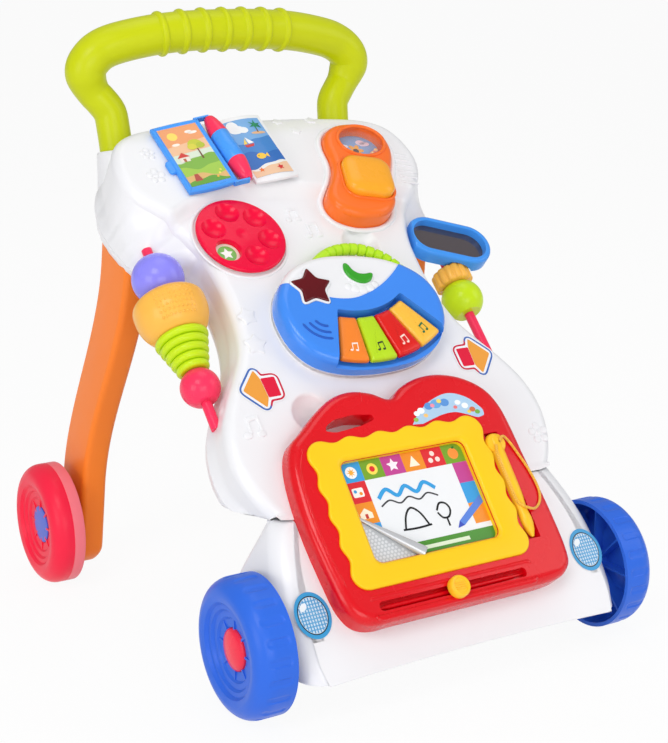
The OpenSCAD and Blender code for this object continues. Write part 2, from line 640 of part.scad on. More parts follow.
module mirror_frame() {
    color("dodgerblue") difference() {
        union() {
            at_face(mirror_pos.x, mirror_pos.y, -mirror_t + 1) rotate([0, 0, mirror_turn]) {
                slab(stadium(mirror_half, mirror_r, 24), 0, mirror_t - 2);
                slab(stadium(mirror_half, mirror_r - 1.5, 24), mirror_t - 2, mirror_t);
            }
        }
        at_face(mirror_pos.x, mirror_pos.y, -mirror_t + 1) rotate([0, 0, mirror_turn])
            slab(stadium(mirror_half, mirror_r - 5, 24), 4, 30);
        along_rod(1, gear_pos - 30) cylinder(r = gear_r + gap, h = 30 + gear_t / 2 + 2 * gap, $fn = 64);
        at_face(0, mirror_pos.y) slab([for (p = inset(panel_outline, -gap - flare * mirror_t / front_depth))
            [p.x, p.y - mirror_pos.y]], -40, 40);
        at_face(0, mirror_pos.y) slab([for (p = inset(outline_at(mirror_t / pod_deep / front_depth), -gap))
            [p.x, p.y - mirror_pos.y]], -40, -3);
    }
}
module mirror_plate() {
    color("dimgray") at_face(mirror_pos.x, mirror_pos.y, -mirror_t + 1) rotate([0, 0, mirror_turn])
        slab(stadium(mirror_half, mirror_r - 5 - gap, 24), 4, 6.5);
}

// ---------------------------------------------------------------- book
module at_book() {
    at_face(book_pos.x, book_pos.y, 0) rotate([0, 0, book_turn]) children();
}
module book_base() {
    color("aliceblue") at_book() {
        translate([roller_r + 1.5, -page_h / 2, head_raise + gap]) cube([page_w - 4, page_h, 2]);
        for (e = [0, 1]) mirror([0, e, 0]) {
            translate([0, roller_l / 2 + 3, roller_h]) rotate([90, 0, 0])
                cylinder(r = peg_r, h = 9, center = true, $fn = 32);
            translate([-3, roller_l / 2 + 2.5, head_raise + gap]) cube([6, 4, roller_h - head_raise - gap]);
            translate([-3, roller_l / 2 + 2.5, head_raise + gap]) cube([roller_r + 8.5, 4, 2]);
            translate([roller_r + 1.5, page_h / 2 - 1, head_raise + gap])
                cube([4, (roller_l - page_h) / 2 + 7.5, 2]);
        }
    }
}
module book_page() {
    tilt = 7;
    color("dodgerblue") at_book() translate([0, 0, roller_h]) rotate([0, -tilt, 0]) {
        translate([-roller_r - 1.5 - page_w, -page_h / 2, -page_t / 2]) cube([page_w, page_h, page_t]);
        for (e = [-1, 1]) difference() {
            hull() {
                translate([0, e * (roller_l / 2 + 1.1), 0]) rotate([90, 0, 0])
                    cylinder(r = 4, h = 1.6, center = true, $fn = 32);
                translate([-roller_r - 4, e * (roller_l / 2 + 1.1), 0]) cube([3, 1.6, 3], center = true);
            }
            translate([0, e * roller_l / 2, 0]) rotate([90, 0, 0])
                cylinder(r = peg_r + run_clear, h = 8, center = true, $fn = 32);
        }
    }
}
module book_roller() {
    l = roller_l / 2;
    color("hotpink") at_book() translate([0, 0, roller_h]) rotate([90, 0, 0]) rotate_extrude($fn = 64)
        polygon([[0, -l + 5], [peg_r + run_clear, -l + 5], [peg_r + run_clear, -l], [roller_r * 0.45, -l],
            [roller_r * 0.75, -l + 8], [roller_r, -l * 0.42], [roller_r, l * 0.42], [roller_r * 0.75, l - 8],
            [roller_r * 0.45, l], [peg_r + run_clear, l], [peg_r + run_clear, l - 5], [0, l - 5]]);
}

// ---------------------------------------------------------------- horn and bead window
module at_horn() {
    at_face(0, horn_s, 0) children();
}
horn_window = [window_pos.x, window_pos.y - horn_s];
horn_button_pos = [button_pos.x, button_pos.y - horn_s];
function oval(a, b, n) = [for (i = [0:n - 1]) [a * cos(360 * i / n), b * sin(360 * i / n)]];
module horn_housing() {
    color("coral") at_horn() difference() {
        union() {
            slab(horn_local, -10, horn_h - 3);
            slab(inset(horn_local, 1), horn_h - 3, horn_h - 1);
            slab(inset(horn_local, 3), horn_h - 1, horn_h);
        }
        slab(inset(horn_local, thin + 0.8), -20, horn_h - thin - 1);
        translate(horn_button_pos) rotate([0, 0, button_turn])
            slab(rounded_points(button_w + 2 * gap, button_w + 2 * gap, 12, 5), 0, 40);
        translate(horn_window) slab(oval(window_a, window_b, 48), -30, 40);
    }
    color("coral") at_horn() {
        difference() {
            translate(horn_window) slab(oval(window_a + thin, window_b + thin, 48), -8, horn_h - thin);
            translate(horn_window) slab(oval(window_a, window_b, 48), -6, 40);
        }
        difference() {
            slab(inset(horn_local, thin), -10, -8);
            translate(horn_button_pos) cylinder(r = 5.3, h = 60, center = true, $fn = 32);
        }
    }
}
module horn_button() {
    color("orange") at_horn() translate(horn_button_pos) rotate([0, 0, button_turn]) {
        slab(rounded_points(button_w, button_w, 12, 5), horn_h - thin - 2, horn_h + button_h - 3);
        slab(rounded_points(button_w - 3, button_w - 3, 11, 5), horn_h + button_h - 3, horn_h + button_h - 1);
        slab(rounded_points(button_w - 7, button_w - 7, 10, 5), horn_h + button_h - 1, horn_h + button_h);
        translate([0, 0, -8 + button_travel + gap])
            cylinder(r = 8, h = horn_h - thin + 6 - button_travel - gap, $fn = 32);
        translate([0, 0, -9]) cylinder(r = 5, h = 10, $fn = 32);
    }
}
module bead_window() {
    color("lightcyan", 0.4) at_horn() translate(horn_window)
        slab(oval(window_a - gap, window_b - gap, 48), horn_h - 6, horn_h - 4);
}
module window_beads() {
    color("salmon") at_horn() translate(horn_window)
        for (p = [[-15, -6], [-9, -11], [-2, -13], [5, -12], [12, -9], [0, -5]])
            translate([p.x, p.y, -6 + 3.2]) sphere(r = 3, $fn = 24);
}

// ---------------------------------------------------------------- dial
module dial() {
    color("crimson") at_face(dial_pos.x, dial_pos.y, 0) {
        difference() {
            union() {
                translate([0, 0, 1.2]) cylinder(r = dial_r, h = dial_t - 1.2, $fn = 96);
                translate([0, 0, dial_t]) cylinder(r1 = dial_r, r2 = dial_r - 1.5, h = 1, $fn = 96);
            }
            for (k = [0:4]) rotate([0, 0, -80 + 60 * k]) translate([22, 0, dial_t + 9.2])
                sphere(r = 12.2, $fn = 48);
            rotate([0, 0, -140]) translate([22, 0, -1]) cylinder(r = 9.5, h = 20, $fn = 48);
        }
        translate([0, 0, -wall - 3]) cylinder(r = dial_pin_r, h = wall + 5, $fn = 48);
        translate([0, 0, -wall - 3.8]) cylinder(r = dial_pin_r + 2.5, h = 2.4, $fn = 48);
    }
}
module dial_picture() {
    color("ivory") at_face(dial_pos.x, dial_pos.y, 0) difference() {
        translate([0, 0, -0.5]) cylinder(r = dial_r - 2, h = 1.4, $fn = 96);
        cylinder(r = dial_pin_r + 1, h = 4, $fn = 48);
        under_face(0.05);
    }
}

// ---------------------------------------------------------------- music box
module at_music() {
    at_face(music_pos.x, music_pos.y, 0) children();
}
// What lies under the face, grown by g, in a flat part's own frame.
module under_face(g) {
    reach = 120;
    translate([-150, 0, 0]) rotate([90, 0, 90]) linear_extrude(height = 300)
        polygon(concat([[reach, -60],
            for (v = [reach:-10:-reach]) [v, sqrt(pow(face_r + g, 2) - v * v) - face_r]],
            [[-reach, -60]]));
}
function sector(r0, r1, a0, a1, k) = concat(
    [for (j = [0:k]) let(a = a0 + (a1 - a0) * j / k) key_centre + r1 * [sin(a), -cos(a)]],
    [for (j = [0:k]) let(a = a1 + (a0 - a1) * j / k) key_centre + r0 * [sin(a), -cos(a)]]);
module music_case() {
    fan = [key_fan - 2 * key_pitch - 1.4, key_fan + 2 * key_pitch + 1.4];
    pocket = sector(key_r0 - 3, key_r1 + 3, fan[0], fan[1], 10);
    shelf = sector(key_r1 - 5, key_r1 + 45, fan[0], fan[1], 10);
    color("royalblue") at_music() difference() {
        union() {
            difference() {
                union() {
                    slab(music_outline, 3.5, music_h - 6);
                    slab(inset(music_outline, 1), music_h - 6, music_h - 3.5);
                    slab(inset(music_outline, 3), music_h - 3.5, music_h - 1.5);
                    slab(inset(music_outline, 6.5), music_h - 1.5, music_h);
                }
                slab(inset(music_outline, thin), 3, music_h - 8);
                slab(inset(music_outline, 7), 3, music_h - thin);
            }
            intersection() {
                slab(inset(music_outline, 2), pocket_low, music_h - 2);
                slab(inset(pocket, -thin), pocket_low, music_h - 1);
            }
            intersection() {
                slab(inset(music_outline, thin / 2), shelf_h - thin, shelf_h + 2);
                slab(inset(shelf, -thin), shelf_h - thin, shelf_h + 2);
            }
        }
        slab(pocket, key_floor, 40);
        slab(shelf, shelf_h, 40);
        slab(deck_outline, -1, 60);
        for (k = [0:3]) translate(key_point(k)) cylinder(r = stem_r + gap, h = 20, $fn = 32);
        star_cut();
    }
}
function key_angle(k) = key_fan + (k - 1.5) * key_pitch;
function key_point(k) = let(c = key_centre + (key_r0 + key_r1) / 2 * [sin(key_angle(k)),
    -cos(key_angle(k))]) [c.x, c.y, 0];
module key(k, tint) {
    a = key_angle(k);
    h = key_pitch / 2 - 0.35;
    s = sector(key_r0, key_r1, a - h, a + h, 6);
    color(tint) at_music() {
        slab(s, key_low, key_top - 1.5);
        slab(inset(s, 1.2), key_top - 1.5, key_top);
        translate(key_point(k)) translate([0, 0, stem_low])
            cylinder(r = stem_r, h = key_top - 1 - stem_low, $fn = 32);
    }
}
module music_back() {
    color("white") at_music() difference() {
        union() {
            slab(music_outline, -3, 3.2);
            intersection() {
                slab(deck_outline, 3, 40);
                union() {
                    slab(music_outline, 3, music_h - 6);
                    slab(inset(music_outline, 2), music_h - 6, music_h - 3);
                    slab(inset(music_outline, 5), music_h - 3, music_h - 1);
                }
            }
        }
        under_face(gap);
        intersection() {
            slab(inset(music_outline, 7), 2.6, music_h - 3);
            slab(inset(deck_outline, thin + gap), 2.6, 40);
        }
        translate([battery_pos.x, battery_pos.y, -10]) linear_extrude(height = 20)
            square([battery_l + 8, 4 * battery_r + 5], center = true);
        translate([crescent_pos.x, crescent_pos.y, 0]) crescent(gap, music_h - 6, 40);
        star_cut();
    }
}
module battery_door() {
    color("white") at_music() difference() {
        translate([battery_pos.x, battery_pos.y, -3]) linear_extrude(height = 5.4)
            square([battery_l + 8 - 2 * gap, 4 * battery_r + 5 - 2 * gap], center = true);
        under_face(gap);
    }
}
module batteries() {
    color("goldenrod") at_music() for (k = [-1, 1])
        translate([battery_pos.x - battery_l / 2, battery_pos.y + k * (battery_r + 0.1), 2.7 + battery_r])
            rotate([0, 90, 0]) cylinder(r = battery_r, h = battery_l, $fn = 32);
}
crescent_outline = smooth_closed([
    [-10, 8.5], [-11.6, 3], [-10, -3.5], [-5, -8.6], [1, -10.6], [7, -9], [11, -4], [9.6, -2],
    [4, -2.2], [-1, -1], [-4.4, 2.4], [-6, 7], [-8, 9.4]], 3);
module crescent(g, h0, h1) {
    slab(inset(crescent_outline, -g), h0, h1);
}
module crescent_button() {
    color("forestgreen") at_music() translate([crescent_pos.x, crescent_pos.y, 0])
        crescent(0, music_h - 5, music_h + 1.2);
}
function star_points(r, f) = [for (k = [0:9]) let(a = star_turn + 36 * k, q = k % 2 == 0 ? r : r * f)
    q * [cos(a), sin(a)]];
module star_cut() {
    translate([star_pos.x, star_pos.y, 0]) slab(star_points(star_r + gap, star_f), music_h - 8, 40);
}
module star_lens() {
    color("darkred", 0.8) at_music() translate([star_pos.x, star_pos.y, 0])
        slab(star_points(star_r, star_f), music_h - 5.5, music_h + 1.5);
}
carry_centre = [14, 17];
carry_bend = 45;
carry_up = 1.2;
carry_from = 14;
carry_turn = 120;
module carry_handle() {
    color("yellowgreen") at_music() difference() {
        translate([carry_centre.x, carry_centre.y, carry_r + carry_up]) rotate([0, 0, carry_from])
            rotate_extrude(angle = carry_turn, $fn = 96)
            translate([carry_bend, 0]) circle(r = carry_r, $fn = 32);
        slab(inset(music_outline, -gap), -10, 40);
    }
}
module speaker() {
    color("dimgray") at_music() translate([-46, -3, board_h]) {
        cylinder(r = 14, h = 3, $fn = 48);
        translate([0, 0, 3]) cylinder(r1 = 12, r2 = 9, h = 4, $fn = 48);
    }
}
module circuit_board() {
    color("green") at_music() translate([0, 0, board_h]) difference() {
        intersection() {
            slab(inset(music_outline, 5), 0, board_t);
            slab([[-28, -90], [90, -90], [90, 5], [-28, 5]], 0, board_t);
        }
        cylinder(r = 1, h = 9, center = true, $fn = 24);
    }
    color("green") at_music() for (k = [0:3]) translate(key_point(k)) translate([0, 0, board_h + board_t])
        cylinder(r = 2.5, h = pad_t, $fn = 24);
}

// ---------------------------------------------------------------- tablet
module at_tablet() {
    at_face(tablet_pos.x, tablet_pos.y, 0) children();
}
module tablet_grip(h0, h1, g) {
    translate([0, 0, h0]) linear_extrude(height = h1 - h0) hull() {
        translate([-56, 58]) circle(r = 4.2 + g, $fn = 24);
        translate([-27, 59.5]) circle(r = 4.8 + g, $fn = 24);
    }
}
module tablet_window(g, h0, h1) {
    translate(window_mid) slab(rounded_points(window_w + 2 * g, window_h + 2 * g, 6, 5), h0, h1);
}
module tablet_case() {
    t = tablet_h;
    color("crimson") at_tablet() difference() {
        union() {
            slab(tablet_outline, back_t + 0.2, t - 5);
            slab(inset(tablet_outline, 1), t - 5, t - 3);
            slab(inset(tablet_outline, 2.6), t - 3, t - 1.2);
            slab(inset(tablet_outline, 5.5), t - 1.2, t);
        }
        difference() {
            slab(inset(tablet_outline, thin), back_t, t - 6);
            tablet_grip(0, 40, thin);
        }
        difference() {
            slab(inset(tablet_outline, 5.5), back_t, t - thin);
            tablet_grip(0, 40, thin);
            translate([pen_x, pen_top - pen_l / 2, 0])
                slab(rounded_points(2 * pen_r + 5, pen_l + 8, 5, 4), 6.5, 30);
        }
        tablet_grip(0, 40, 0);
        tablet_window(0, 0, 40);
        translate(slot_mid) slab(rounded_points(slot_l + 2 * stem_r, 2 * stem_r + 0.8, 3, 4), 0, 40);
        translate([pen_x, pen_top + 1, pen_h]) rotate([90, 0, 0])
            cylinder(r = pen_r + 0.6, h = pen_l + 2, $fn = 48);
        translate([pen_x, pen_top - 8, pen_h - 4]) cylinder(r = 8.6, h = 20, $fn = 32);
    }
}
module tablet_back() {
    color("crimson") at_tablet() difference() {
        slab(tablet_outline, -5, back_t);
        under_face(gap);
        tablet_grip(-10, 40, 0);
    }
}
function wave(a, b, n, amp, k) = [for (j = [1:k * n - 1]) let(t = j / (k * n)) a + (b - a) * t
    + amp * (0.5 - 0.5 * cos(360 * n * t)) * [(b - a).y, -(b - a).x] / norm(b - a)];
frame_a = [frame_x0, frame_y0] - tablet_pos;
frame_b = [frame_x1, frame_y1] - tablet_pos;
frame_c = 12;
function frame_corner(c, a0) = [for (j = [0:5]) c + frame_c * [cos(a0 + 18 * j), sin(a0 + 18 * j)]];
frame_outline = let(a = frame_a, b = frame_b, c = frame_c) concat(
    frame_corner([b.x - c, a.y + c], -90), wave([b.x, a.y + c], [b.x, b.y - c], 4, -3, 5),
    frame_corner([b.x - c, b.y - c], 0), wave([b.x - c, b.y], [a.x + c, b.y], 5, -3, 5),
    frame_corner([a.x + c, b.y - c], 90), wave([a.x, b.y - c], [a.x, a.y + c], 4, -3, 5),
    frame_corner([a.x + c, a.y + c], 180));
module tablet_frame() {
    color("gold") at_tablet() difference() {
        union() {
            slab(frame_outline, tablet_h, tablet_h + frame_t - 0.8);
            slab(inset(frame_outline, 0.9), tablet_h + frame_t - 0.8, tablet_h + frame_t);
        }
        tablet_window(0, 0, 40);
        translate([pen_x, pen_top - 8, 0]) cylinder(r = 8 + 2 * gap, h = 40, $fn = 48);
    }
}
module tablet_screen() {
    color("white") at_tablet() translate(window_mid)
        slab(rounded_points(window_w + 8, window_h + 6, 4, 3), tablet_h - thin - screen_t, tablet_h - thin);
}
module eraser() {
    bar_top = tablet_h - thin - screen_t - gap;
    color("gold") at_tablet() translate([slot_mid.x + knob_x, slot_mid.y, 0]) {
        translate([0, 0, tablet_h + gap]) cylinder(r = knob_r, h = 5.5, $fn = 48);
        translate([0, 0, tablet_h + gap + 5.5]) cylinder(r1 = knob_r, r2 = knob_r - 1.2, h = 1.2, $fn = 48);
        translate([0, 0, bar_top - 2.5]) cylinder(r = stem_r, h = tablet_h - bar_top + 4, $fn = 32);
        translate([-5, -3, bar_top - 2.5]) cube([10, window_mid.y - slot_mid.y + window_h / 2 + 3, 2.5]);
    }
}
module pen() {
    color("orange") at_tablet() translate([pen_x, pen_top, pen_h]) {
        rotate([90, 0, 0]) rotate_extrude($fn = 48)
            polygon([[0, 0], [pen_r - 1.5, 0], [pen_r, 2], [pen_r, 50], [pen_r - 1, 58],
                [pen_r - 1, pen_l - 12],
                [pen_r - 2.5, pen_l - 4], [1.2, pen_l], [0, pen_l]]);
        translate([0, -8, -2]) cylinder(r = 8, h = 6.5, $fn = 48);
    }
}
module pen_cord() {
    n = len(cord_route);
    color("gold") at_tablet() skin([for (i = [0:n - 1]) let(a = cord_route[max(i - 1, 0)],
        b = cord_route[min(i + 1, n - 1)])
        cord_ring(cord_route[i], (b - a) / norm(b - a), cord_d / 2, 8)], false);
}
function cord_ring(p, t, r, n) = let(u = [0, 0, 1] - t * t.z, v = u / norm(u), w = cross(t, v))
    [for (i = [0:n - 1]) p + r * (cos(360 * i / n) * v + sin(360 * i / n) * w)];

module screws() {
    color("silver") for (p = screw_points) at_face(p.x, p.y, -front_d(p.y) - tray_depth - seam - 2.1) {
        cylinder(r = 3.2, h = 2, $fn = 32);
        cylinder(r = 1.25, h = tray_depth + 12, $fn = 32);
    }
}

front_panel();
rear_cover();
base_shell();
base_cover();
handle();
leg(-1);  // leg_left
leg(1);  // leg_right
front_axle();
rear_axle(-1);  // rear_axle_left
rear_axle(1);  // rear_axle_right
wheel(-1, front_axle_y, front_track, front_wheel_w, 0, "royalblue");  // front_wheel_left
wheel(1, front_axle_y, front_track, front_wheel_w, 0, "royalblue");  // front_wheel_right
cap(-1, front_axle_y, front_track, front_wheel_w, 4, "crimson");  // front_cap_left
cap(1, front_axle_y, front_track, front_wheel_w, 4, "crimson");  // front_cap_right
wheel(-1, rear_axle_y, rear_track, rear_wheel_w, ring_w, "crimson");  // rear_wheel_left
wheel(1, rear_axle_y, rear_track, rear_wheel_w, ring_w, "crimson");  // rear_wheel_right
rear_ring(-1);  // rear_ring_left
rear_ring(1);  // rear_ring_right
cap(-1, rear_axle_y, rear_track, rear_wheel_w, 0.6, "slateblue");  // rear_cap_left
cap(1, rear_axle_y, rear_track, rear_wheel_w, 0.6, "slateblue");  // rear_cap_right
bead_rod(-1);  // bead_rod_left
bead_rod(1);  // bead_rod_right
ball_bead(-1, ball_t, ball_r, 0.86, "mediumpurple");  // left_bead_ball
barrel_bead();  // left_bead_barrel
cone_bead();  // left_bead_cone
ball_bead(-1, small_t, small_r, 0.85, "deeppink");  // left_bead_small
gear_bead();  // right_bead_gear
ball_bead(1, lime_pos, lime_r, 0.8, "yellowgreen");  // right_bead_ball
mirror_frame();
mirror_plate();
book_base();
book_page();
book_roller();
horn_housing();
horn_button();
bead_window();
window_beads();
dial();
dial_picture();
music_case();
music_back();
key(0, "orange");  // key_1
key(1, "yellowgreen");  // key_2
key(2, "red");  // key_3
key(3, "gold");  // key_4
star_lens();
crescent_button();
carry_handle();
speaker();
circuit_board();
batteries();
battery_door();
tablet_case();
tablet_back();
tablet_frame();
tablet_screen();
eraser();
pen();
pen_cord();
screws();
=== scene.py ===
import bpy, bmesh
import numpy as np
from math import asin, atan2, ceil, copysign, cos, exp, pi, radians, sin, sqrt
from mathutils import Matrix, Vector


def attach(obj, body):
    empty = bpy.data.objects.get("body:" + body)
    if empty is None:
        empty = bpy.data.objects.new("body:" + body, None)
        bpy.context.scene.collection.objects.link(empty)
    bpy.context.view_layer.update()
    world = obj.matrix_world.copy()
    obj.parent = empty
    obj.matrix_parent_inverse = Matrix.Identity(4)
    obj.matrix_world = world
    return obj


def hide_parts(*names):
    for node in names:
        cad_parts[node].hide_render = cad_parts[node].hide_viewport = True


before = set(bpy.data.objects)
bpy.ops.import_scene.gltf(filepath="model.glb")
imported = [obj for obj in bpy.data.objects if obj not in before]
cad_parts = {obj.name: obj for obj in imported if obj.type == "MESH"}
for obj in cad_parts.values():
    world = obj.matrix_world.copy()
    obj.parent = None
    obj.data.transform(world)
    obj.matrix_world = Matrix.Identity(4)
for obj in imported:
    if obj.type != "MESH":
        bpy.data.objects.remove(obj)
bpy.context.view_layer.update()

# ------------------------------------------------------------------ frames
# Lengths are millimetres in the frame of the CAD, and MM scales them once, in mesh_of().
MM = 0.001
FACE_R, FACE_SLOPE, AXLE_MID, MID_Z = 1540.0, 45.0, 3.8, 212.5
ARC_Y = AXLE_MID - 55 + FACE_R*sin(radians(FACE_SLOPE))
ARC_Z = MID_Z - FACE_R*cos(radians(FACE_SLOPE))
WHEEL_R, FRONT_Y, REAR_Y = 49.4, AXLE_MID - 150.3, AXLE_MID + 150.3
SIDES = ((-1, "left"), (1, "right"))
UP = Vector((0, 0, 1))
move = Matrix.Translation
link = bpy.context.scene.collection.objects.link


def turn(deg, axis="Z"):
    return Matrix.Rotation(radians(deg), 4, axis)


def slope(s):
    return radians(FACE_SLOPE) - s/FACE_R


def on(x, s, h=0.0):
    "The point x to the side, s along the face and h above it."
    a = slope(s)
    return Vector((x, ARC_Y - (FACE_R + h)*sin(a), ARC_Z + (FACE_R + h)*cos(a)))


def at_face(x, s, deg=0.0):
    return move(on(x, s)) @ Matrix.Rotation(slope(s), 4, "X") @ turn(deg)


def on_axle(side, y, x):
    return move((side*x, y, WHEEL_R)) @ turn(side*90, "Y")


def along_rod(side, t):
    return move((side*127, AXLE_MID, 235)) @ turn(45.5 - 90, "X") @ move((0, 0, t))


# ------------------------------------------------------------------ outlines
def vectors(p, x=0.0, y=0.0):
    "The points p as vectors, moved by x and y."
    return [Vector((q[0] + x, q[1] + y)) for q in p]


def spline(a, b, c, d, t):
    return 0.5*(2*b + (c - a)*t + (2*a - 5*b + 4*c - d)*t*t + (3*b - a - 3*c + d)*t**3)


def smooth_closed(p, k):
    p = [Vector(q) for q in p]
    n = len(p)
    return [spline(p[i - 1], p[i], p[(i + 1) % n], p[(i + 2) % n], j/k) for i in range(n) for j in range(k)]


def smooth_open(p, k):
    p = [Vector(q) for q in p]
    n = len(p)
    return [spline(p[max(i - 1, 0)], p[i], p[i + 1], p[min(i + 2, n - 1)], j/k)
        for i in range(n - 1) for j in range(k)] + [p[-1]]


def step(a, b, t):
    u = np.clip((t - a)/(b - a), 0, 1)
    return u*u*(3 - 2*u)


def knots(k, t):
    return np.interp(t, [q[0] for q in k], [q[1] for q in k])


def along(p, n):
    "The closed outline p again, with n points at even distances; n may be a rule that takes the length."
    q = p + [p[0]]
    run = np.concatenate([[0], np.cumsum([(b - a).length for a, b in zip(q[:-1], q[1:])])])
    t = np.linspace(0, run[-1], n(run[-1]) if callable(n) else n, endpoint=False)
    x, y = (np.interp(t, run, [a[k] for a in q]) for k in (0, 1))
    return [Vector(v) for v in zip(x.tolist(), y.tolist())]


def even(p, gap):
    return along(vectors(p), lambda length: max(8, int(length/gap)))


def inset(p, d):
    "Shrinks an anticlockwise outline by d in one step."
    out = []
    for i, q in enumerate(p):
        t = Vector(p[(i + 1) % len(p)]) - Vector(p[i - 1])
        t = t/max(t.length, 1e-6)
        out.append(Vector((q[0] - d*t.y, q[1] + d*t.x)))
    return out


def shrink(p, d, pace=0.35, spread=True):
    "The outline p moved inwards by d, with as many points, in small steps so that corners stay clean."
    p = vectors(p)
    n, steps = len(p), ceil(abs(d)/pace)
    for _ in range(steps):
        p = inset(p, d/steps)
        p = [(p[i - 1] + p[i]*6 + p[(i + 1) % n])/8 for i in range(n)]
        if spread:
            p = along(p, n)
    return p


def soften(p, r, gap=0.8):
    "Rounds the corners of an outline."
    q = even(p, gap)
    for _ in range(int(4*r)):
        q = [(q[i - 1] + q[i]*2 + q[(i + 1) % len(q)])/4 for i in range(len(q))]
    return q


def box_points(w, d, r, k=6):
    out = []
    for q in range(4):
        cx, cy = (w/2 - r)*(1 if q in (0, 3) else -1), (d/2 - r)*(1 if q < 2 else -1)
        out += [Vector((cx + r*cos(radians(q*90 + j*90/k)), cy + r*sin(radians(q*90 + j*90/k)))) for j in range(k + 1)]
    return out


def ring_points(r, n=64, ry=None, at=(0, 0), turned_by=0.0):
    ry = r if ry is None else ry
    c, s = cos(radians(turned_by)), sin(radians(turned_by))
    pts = [(r*cos(2*pi*i/n), ry*sin(2*pi*i/n)) for i in range(n)]
    return [Vector((at[0] + x*c - y*s, at[1] + x*s + y*c)) for x, y in pts]


def rect(x0, y0, x1, y1):
    return [(x0, y0), (x1, y0), (x1, y1), (x0, y1)]


def star(r, f, n, at=(0, 0), first=90.0):
    return [Vector((at[0] + q*cos(radians(a)), at[1] + q*sin(radians(a))))
        for q, a in ((r*(f if k % 2 else 1), first + 180/n*k) for k in range(2*n))]


# ------------------------------------------------------------------ materials
def linear(rgb):
    return tuple((v/255/12.92 if v/255 <= 0.04045 else ((v/255 + 0.055)/1.055)**2.4) for v in rgb) + (1.0,)


def fill(nt, n, sockets):
    "Sets each named socket of a node to a value, or links it to an output."
    for key, value in sockets.items():
        if isinstance(value, bpy.types.NodeSocket):
            nt.links.new(value, n.inputs[key])
        else:
            n.inputs[key].default_value = value


def node(nt, kind, sockets, out=0, **settings):
    "Adds a shader node and gives one of its outputs."
    n = nt.nodes.new("ShaderNode" + kind)
    for key, value in settings.items():
        setattr(n, key, value)
    fill(nt, n, sockets)
    return n.outputs[out]


def material(name):
    m = bpy.data.materials.new(name)
    m.use_nodes = True
    return m, m.node_tree, m.node_tree.nodes["Principled BSDF"]


def object_place(nt):
    return node(nt, "TexCoord", {}, "Object")


def noise(nt, scale, low, high):
    "Noise between low and high."
    fac = node(nt, "TexNoise", {"Scale": scale, "Detail": 3.0, "Vector": object_place(nt)}, "Fac")
    return node(nt, "MapRange", {"From Min": 0.3, "From Max": 0.7, "To Min": low, "To Max": high, "Value": fac},
        "Result")


def blend(nt, a, b, factor):
    return node(nt, "Mix", {"A": a, "B": b, "Factor": factor}, "Result", data_type="RGBA")


def plastic(name, rgb, rough=0.3, coat=0.1, var=0.03, grain=0.02, metallic=0.0, spec=0.22):
    "Moulded plastic: faint flow marks in the colour, uneven gloss and a fine grain."
    m, nt, b = material(name)
    base = linear(rgb)[:3]
    fine = node(nt, "TexNoise", {"Scale": 1400.0, "Detail": 2.0, "Vector": object_place(nt)}, "Fac")
    fill(nt, b, {"Metallic": metallic, "Coat Weight": coat, "Coat Roughness": 0.07, "Specular IOR Level": spec,
        "Base Color": blend(nt, tuple(c*(1 - var) for c in base) + (1,),
            tuple(min(1.0, c*(1 + var)) for c in base) + (1,), noise(nt, 11.0, 0, 1)),
        "Roughness": noise(nt, 70.0, rough - 0.02, rough + 0.03),
        "Normal": node(nt, "Bump", {"Strength": grain, "Distance": 0.0002, "Height": fine}, "Normal")})
    return m


WHITE = plastic("white_plastic", (238, 238, 241), 0.3, 0.22, 0.006, 0.01, spec=0.4)
LIME = plastic("lime_plastic", (199, 208, 8), 0.36, 0.06)
ORANGE = plastic("orange_plastic", (255, 134, 44), 0.4, 0.04)
WHEEL_BLUE = plastic("wheel_blue", (47, 106, 222), 0.36, 0.06)
CAP_RED = plastic("cap_red", (250, 40, 70), 0.28, 0.2)
WHEEL_RED = plastic("wheel_red", (250, 36, 70), 0.38, 0.05)
RING_PINK = plastic("ring_pink", (255, 128, 140), 0.42, 0.03)
CAP_BLUE = plastic("cap_blue", (74, 100, 216), 0.3, 0.12)
PINK = plastic("pink_plastic", (250, 52, 94), 0.28, 0.15)
VIOLET = plastic("violet_plastic", (144, 140, 250), 0.25, 0.25)
AMBER = plastic("amber_plastic", (250, 186, 78), 0.3, 0.15)
BEAD_LIME = plastic("bead_lime", (200, 230, 24), 0.3, 0.15)
SKY = plastic("sky_plastic", (72, 156, 246), 0.28, 0.2)
MIRROR_BLUE = plastic("mirror_blue", (66, 150, 240), 0.3, 0.15)
CORAL = plastic("coral_plastic", (250, 116, 38), 0.29, 0.2)
BUTTON = plastic("button_plastic", (250, 170, 40), 0.28, 0.2)
DIAL_RED = plastic("dial_red", (238, 2, 60), 0.26, 0.25, spec=0.12)
MUSIC_BLUE = plastic("music_blue", (62, 138, 240), 0.24, 0.4)
# Painted shade: a darker, matte blue that stands for the shade inside the music box's sound slots.
SLOT_SHADE_BLUE = plastic("slot_shade_blue", (36, 92, 190), 0.45, 0.03)
KEYS = [plastic("key_" + name, rgb, 0.26, 0.25) for name, rgb in (("orange", (250, 136, 44)),
    ("lime", (186, 224, 30)), ("red", (224, 26, 20)), ("amber", (252, 192, 66)))]
CARRY_LIME = plastic("carry_lime", (186, 232, 40), 0.34, 0.1)
GREEN = plastic("crescent_green", (52, 160, 36), 0.2, 0.4)
TABLET_RED = plastic("tablet_red", (222, 4, 22), 0.26, 0.35)
TABLET_YELLOW = plastic("tablet_yellow", (250, 203, 22), 0.34, 0.08)
PEN_YELLOW = plastic("pen_yellow", (255, 198, 40), 0.3, 0.15)
DARK = plastic("dark_plastic", (48, 48, 54), 0.6, 0.0)
BOARD_GREEN = plastic("board_green", (20, 92, 46), 0.5, 0.1)
CELL = plastic("cell_foil", (190, 150, 70), 0.35, 0.1, metallic=0.8)
STEEL = plastic("plated_steel", (176, 178, 182), 0.3, 0.0, grain=0.1, metallic=1.0)
FILM = plastic("drawing_film", (206, 208, 212), 0.4, 0.1)
